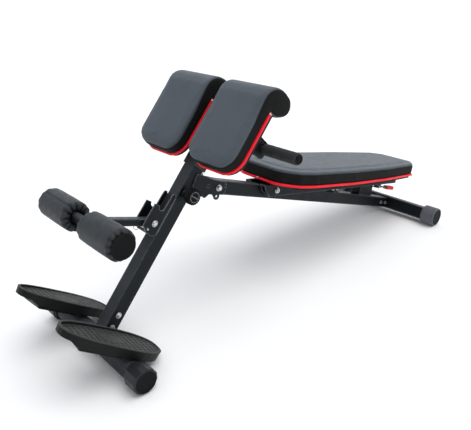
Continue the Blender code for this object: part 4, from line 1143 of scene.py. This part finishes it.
def through_bolt(node, body, head, length, kind):
    """A bolt for a plain CAD one: washers, head and shank, and a lock nut with the thread's end."""
    low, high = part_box(node)
    near, far = low.y + length, high.y - length
    axis = Vector(((low.x + high.x) / 2, 0, (low.z + high.z) / 2))
    place = Matrix.Translation(axis) @ Matrix.Rotation(math.radians(17), 4, "Y")
    bm = bmesh.new()
    for seat, way in ((near, -1), (far, 1)):
        top = seat + way * 1.5 * MM
        washer = [(seat, 0.003), (seat, head * 0.97), (seat + way * 0.5 * MM, head),
                  (seat + way * 1.2 * MM, head), (top, head * 0.96), (top, 0.003)]
        lathe(bm, washer, place, 48, closed=True)
    seat = near - 1.4 * MM
    if kind == "dome":
        lathe(bm, [(seat, 0.0005)] + dome(seat, low.y, head * 0.82, 9) + [(low.y, 0.0004)], place, 48)
    else:
        hexagon(bm, head * 0.80, seat, low.y, place, socket=head * 0.36 if kind == "socket" else 0.0)
    hexagon(bm, head * 0.80, far + 1.4 * MM, high.y - 1.4 * MM, place)
    thread_end = [(far - 1 * MM, 0.0004), (far - 1 * MM, head * 0.40), (high.y - 0.5 * MM, head * 0.40),
                  (high.y, head * 0.33), (high.y, 0.0004)]
    lathe(bm, thread_end, place, 24)
    shank = [(near - 1 * MM, 0.0004), (near - 1 * MM, head * 0.42), (far + 1 * MM, head * 0.42),
             (far + 1 * MM, 0.0004)]
    lathe(bm, shank, place, 24)
    piece(node + "_set", bm, "zinc", body, [node], 30)


def bolts():
    """Every bolt, with its body, its head's radius and length, and the head's kind."""
    for node, body, head, length, kind in (
            ("post_bolt_lower", "base", 0.0085, 0.006, "socket"),
            ("post_bolt_upper", "base", 0.0085, 0.006, "dome"),
            ("pivot_bolt", "base", 0.0095, 0.007, "hexagon"),
            ("arm_bolt", "base", 0.0090, 0.006, "dome"),
            ("back_hinge_bolt", "back_rest", 0.0095, 0.006, "socket"),
            ("rear_bolt_front", "beam", 0.0070, 0.006, "socket"),
            ("rear_bolt_rear", "beam", 0.0070, 0.006, "socket"),
            ("prop_bolt", "beam", 0.0070, 0.004, "hexagon")):
        through_bolt(node, body, head, length, kind)


def weld(bm, points, radius):
    """A rippled weld bead along points."""
    route = resample(points, 0.8 * MM)
    tube(bm, route, radius, 8, ripple=lambda i: 1.0 + 0.16 * math.sin(i * 2.1) + 0.06 * math.sin(i * 0.7))


def welds():
    """Beads where the brackets and cross tubes meet the main tubes, on both sides of them."""
    for name, body, beads in (
            ("base_welds", "base", ((POST, (0.304, 0.36, 0.410), 0.0205, 0.0205, 1.5 * MM),
                                    (POST, (0.455, 0.480, 0.508), 0.0200, -0.0225, 1.4 * MM))),
            ("beam_welds", "beam", ((BEAM, (0.570, 0.586, 0.602), 0.0165, 0.0208, 1.1 * MM),)),
            ("hip_welds", "hip_carriage", ((POST, (0.604, 0.645, 0.686), 0.0610, 0.0185, 1.6 * MM),))):
        bm = bmesh.new()
        for _, sign in SIDES:
            for to_row, along, y, z, radius in beads:
                weld(bm, [to_row @ Vector((x, sign * y, z)) for x in along], radius)
        piece(name, bm, "black_frame", body)


def screws(name, body, to_row, places, height, radius):
    """Domed screw heads, standing along a frame's -Z."""
    bm = bmesh.new()
    head = [(0.0, 0.0003)] + dome(0.0, radius * 0.5, radius, 6) + [(radius * 0.5, 0.0003)]
    for x, y in places:
        place = to_row @ Matrix.Translation((x, y, height)) @ Matrix.Rotation(math.radians(90), 4, "X")
        lathe(bm, head, place, 24)
    piece(name, bm, "zinc", body)


def pad_screws():
    """The screws that hold the boards to the cross plate and to the rails' strips."""
    hip = [(x, y) for y in (-0.130, -0.045, 0.045, 0.130) for x in (0.603, 0.655)]
    screws("hip_board_screws", "hip_carriage", POST, hip, 0.0188, 0.0045)
    bench = [(x, y) for x in (0.155, 0.395, 0.545, 0.702) for y in (-0.010, 0.010)]
    screws("back_board_screws", "back_rest", BACK, bench, 0.0150, 0.0042)


def rail_plugs():
    """Plastic plugs in the rear ends of the back pad's two rails."""
    bm = bmesh.new()
    end = BACK @ Matrix.Translation((0.717, 0, 0)) @ Matrix.Rotation(math.radians(90), 4, "Z")
    for middle in (-0.0320, 0.0320):
        low, high = middle - 0.0094, middle + 0.0094
        outline = [(low, -0.0188), (high, -0.0188), (high, 0.0188), (low, 0.0188)]
        slab(bm, outline, -0.0018, 0.0012, end, 0.8 * MM)
    piece("rail_plugs", bm, "cap_plastic", "back_rest")


def lever_spring():
    """The small spring that closes the release lever."""
    pivot = joint_point("lever_squeeze", -0.0370)
    points = []
    for k in range(100):
        turn = math.tau * k / 16
        points.append(pivot + Vector((0.0034 * math.cos(turn), 0.0100 * k / 99, 0.0034 * math.sin(turn))))
    spring = tube(bmesh.new(), points, 0.5 * MM, 6, up=Vector((0, 1, 0)))
    piece("lever_spring", spring, "zinc", "back_rest")


# --- CAD nodes that stay ------------------------------------------------------------------------
def soften_edges(node, width):
    """Merges a node's flat facets and rounds its edges a little."""
    node.modifiers.new("weld", "WELD").merge_threshold = 0.02 * MM
    flat = node.modifiers.new("flat", "DECIMATE")
    flat.decimate_type = "DISSOLVE"
    flat.angle_limit = math.radians(0.6)
    soft = node.modifiers.new("soft_edge", "BEVEL")
    soft.width = width
    soft.segments = 2
    soft.limit_method = "ANGLE"
    soft.angle_limit = math.radians(38)
    soft.use_clamp_overlap = True
    even = node.modifiers.new("even", "WEIGHTED_NORMAL")
    even.keep_sharp = True


def finish_cad_nodes():
    """The real finish and softened edges on every CAD node that still shows."""
    slots = {part["node"]: part["material_slot"] for part in frame["record"]["subparts"]}
    for name, node in NODES.items():
        if node.hide_render:
            continue
        kind = "dull_steel" if name == "pin_ring" else slots[name]
        for index in range(len(node.material_slots)):
            node.material_slots[index].material = MATERIALS[kind]
        if name != "pin_ring":
            soften_edges(node, 0.8 * MM if kind == "black_frame" else 0.6 * MM)


camera()
ground()
light()
hip_cushions()
back_cushion()
rollers()
handle_grips()
foot_treads()
front_cap_faces()
rear_caps()
pull_knob()
bolts()
welds()
pad_screws()
rail_plugs()
lever_spring()
finish_cad_nodes()
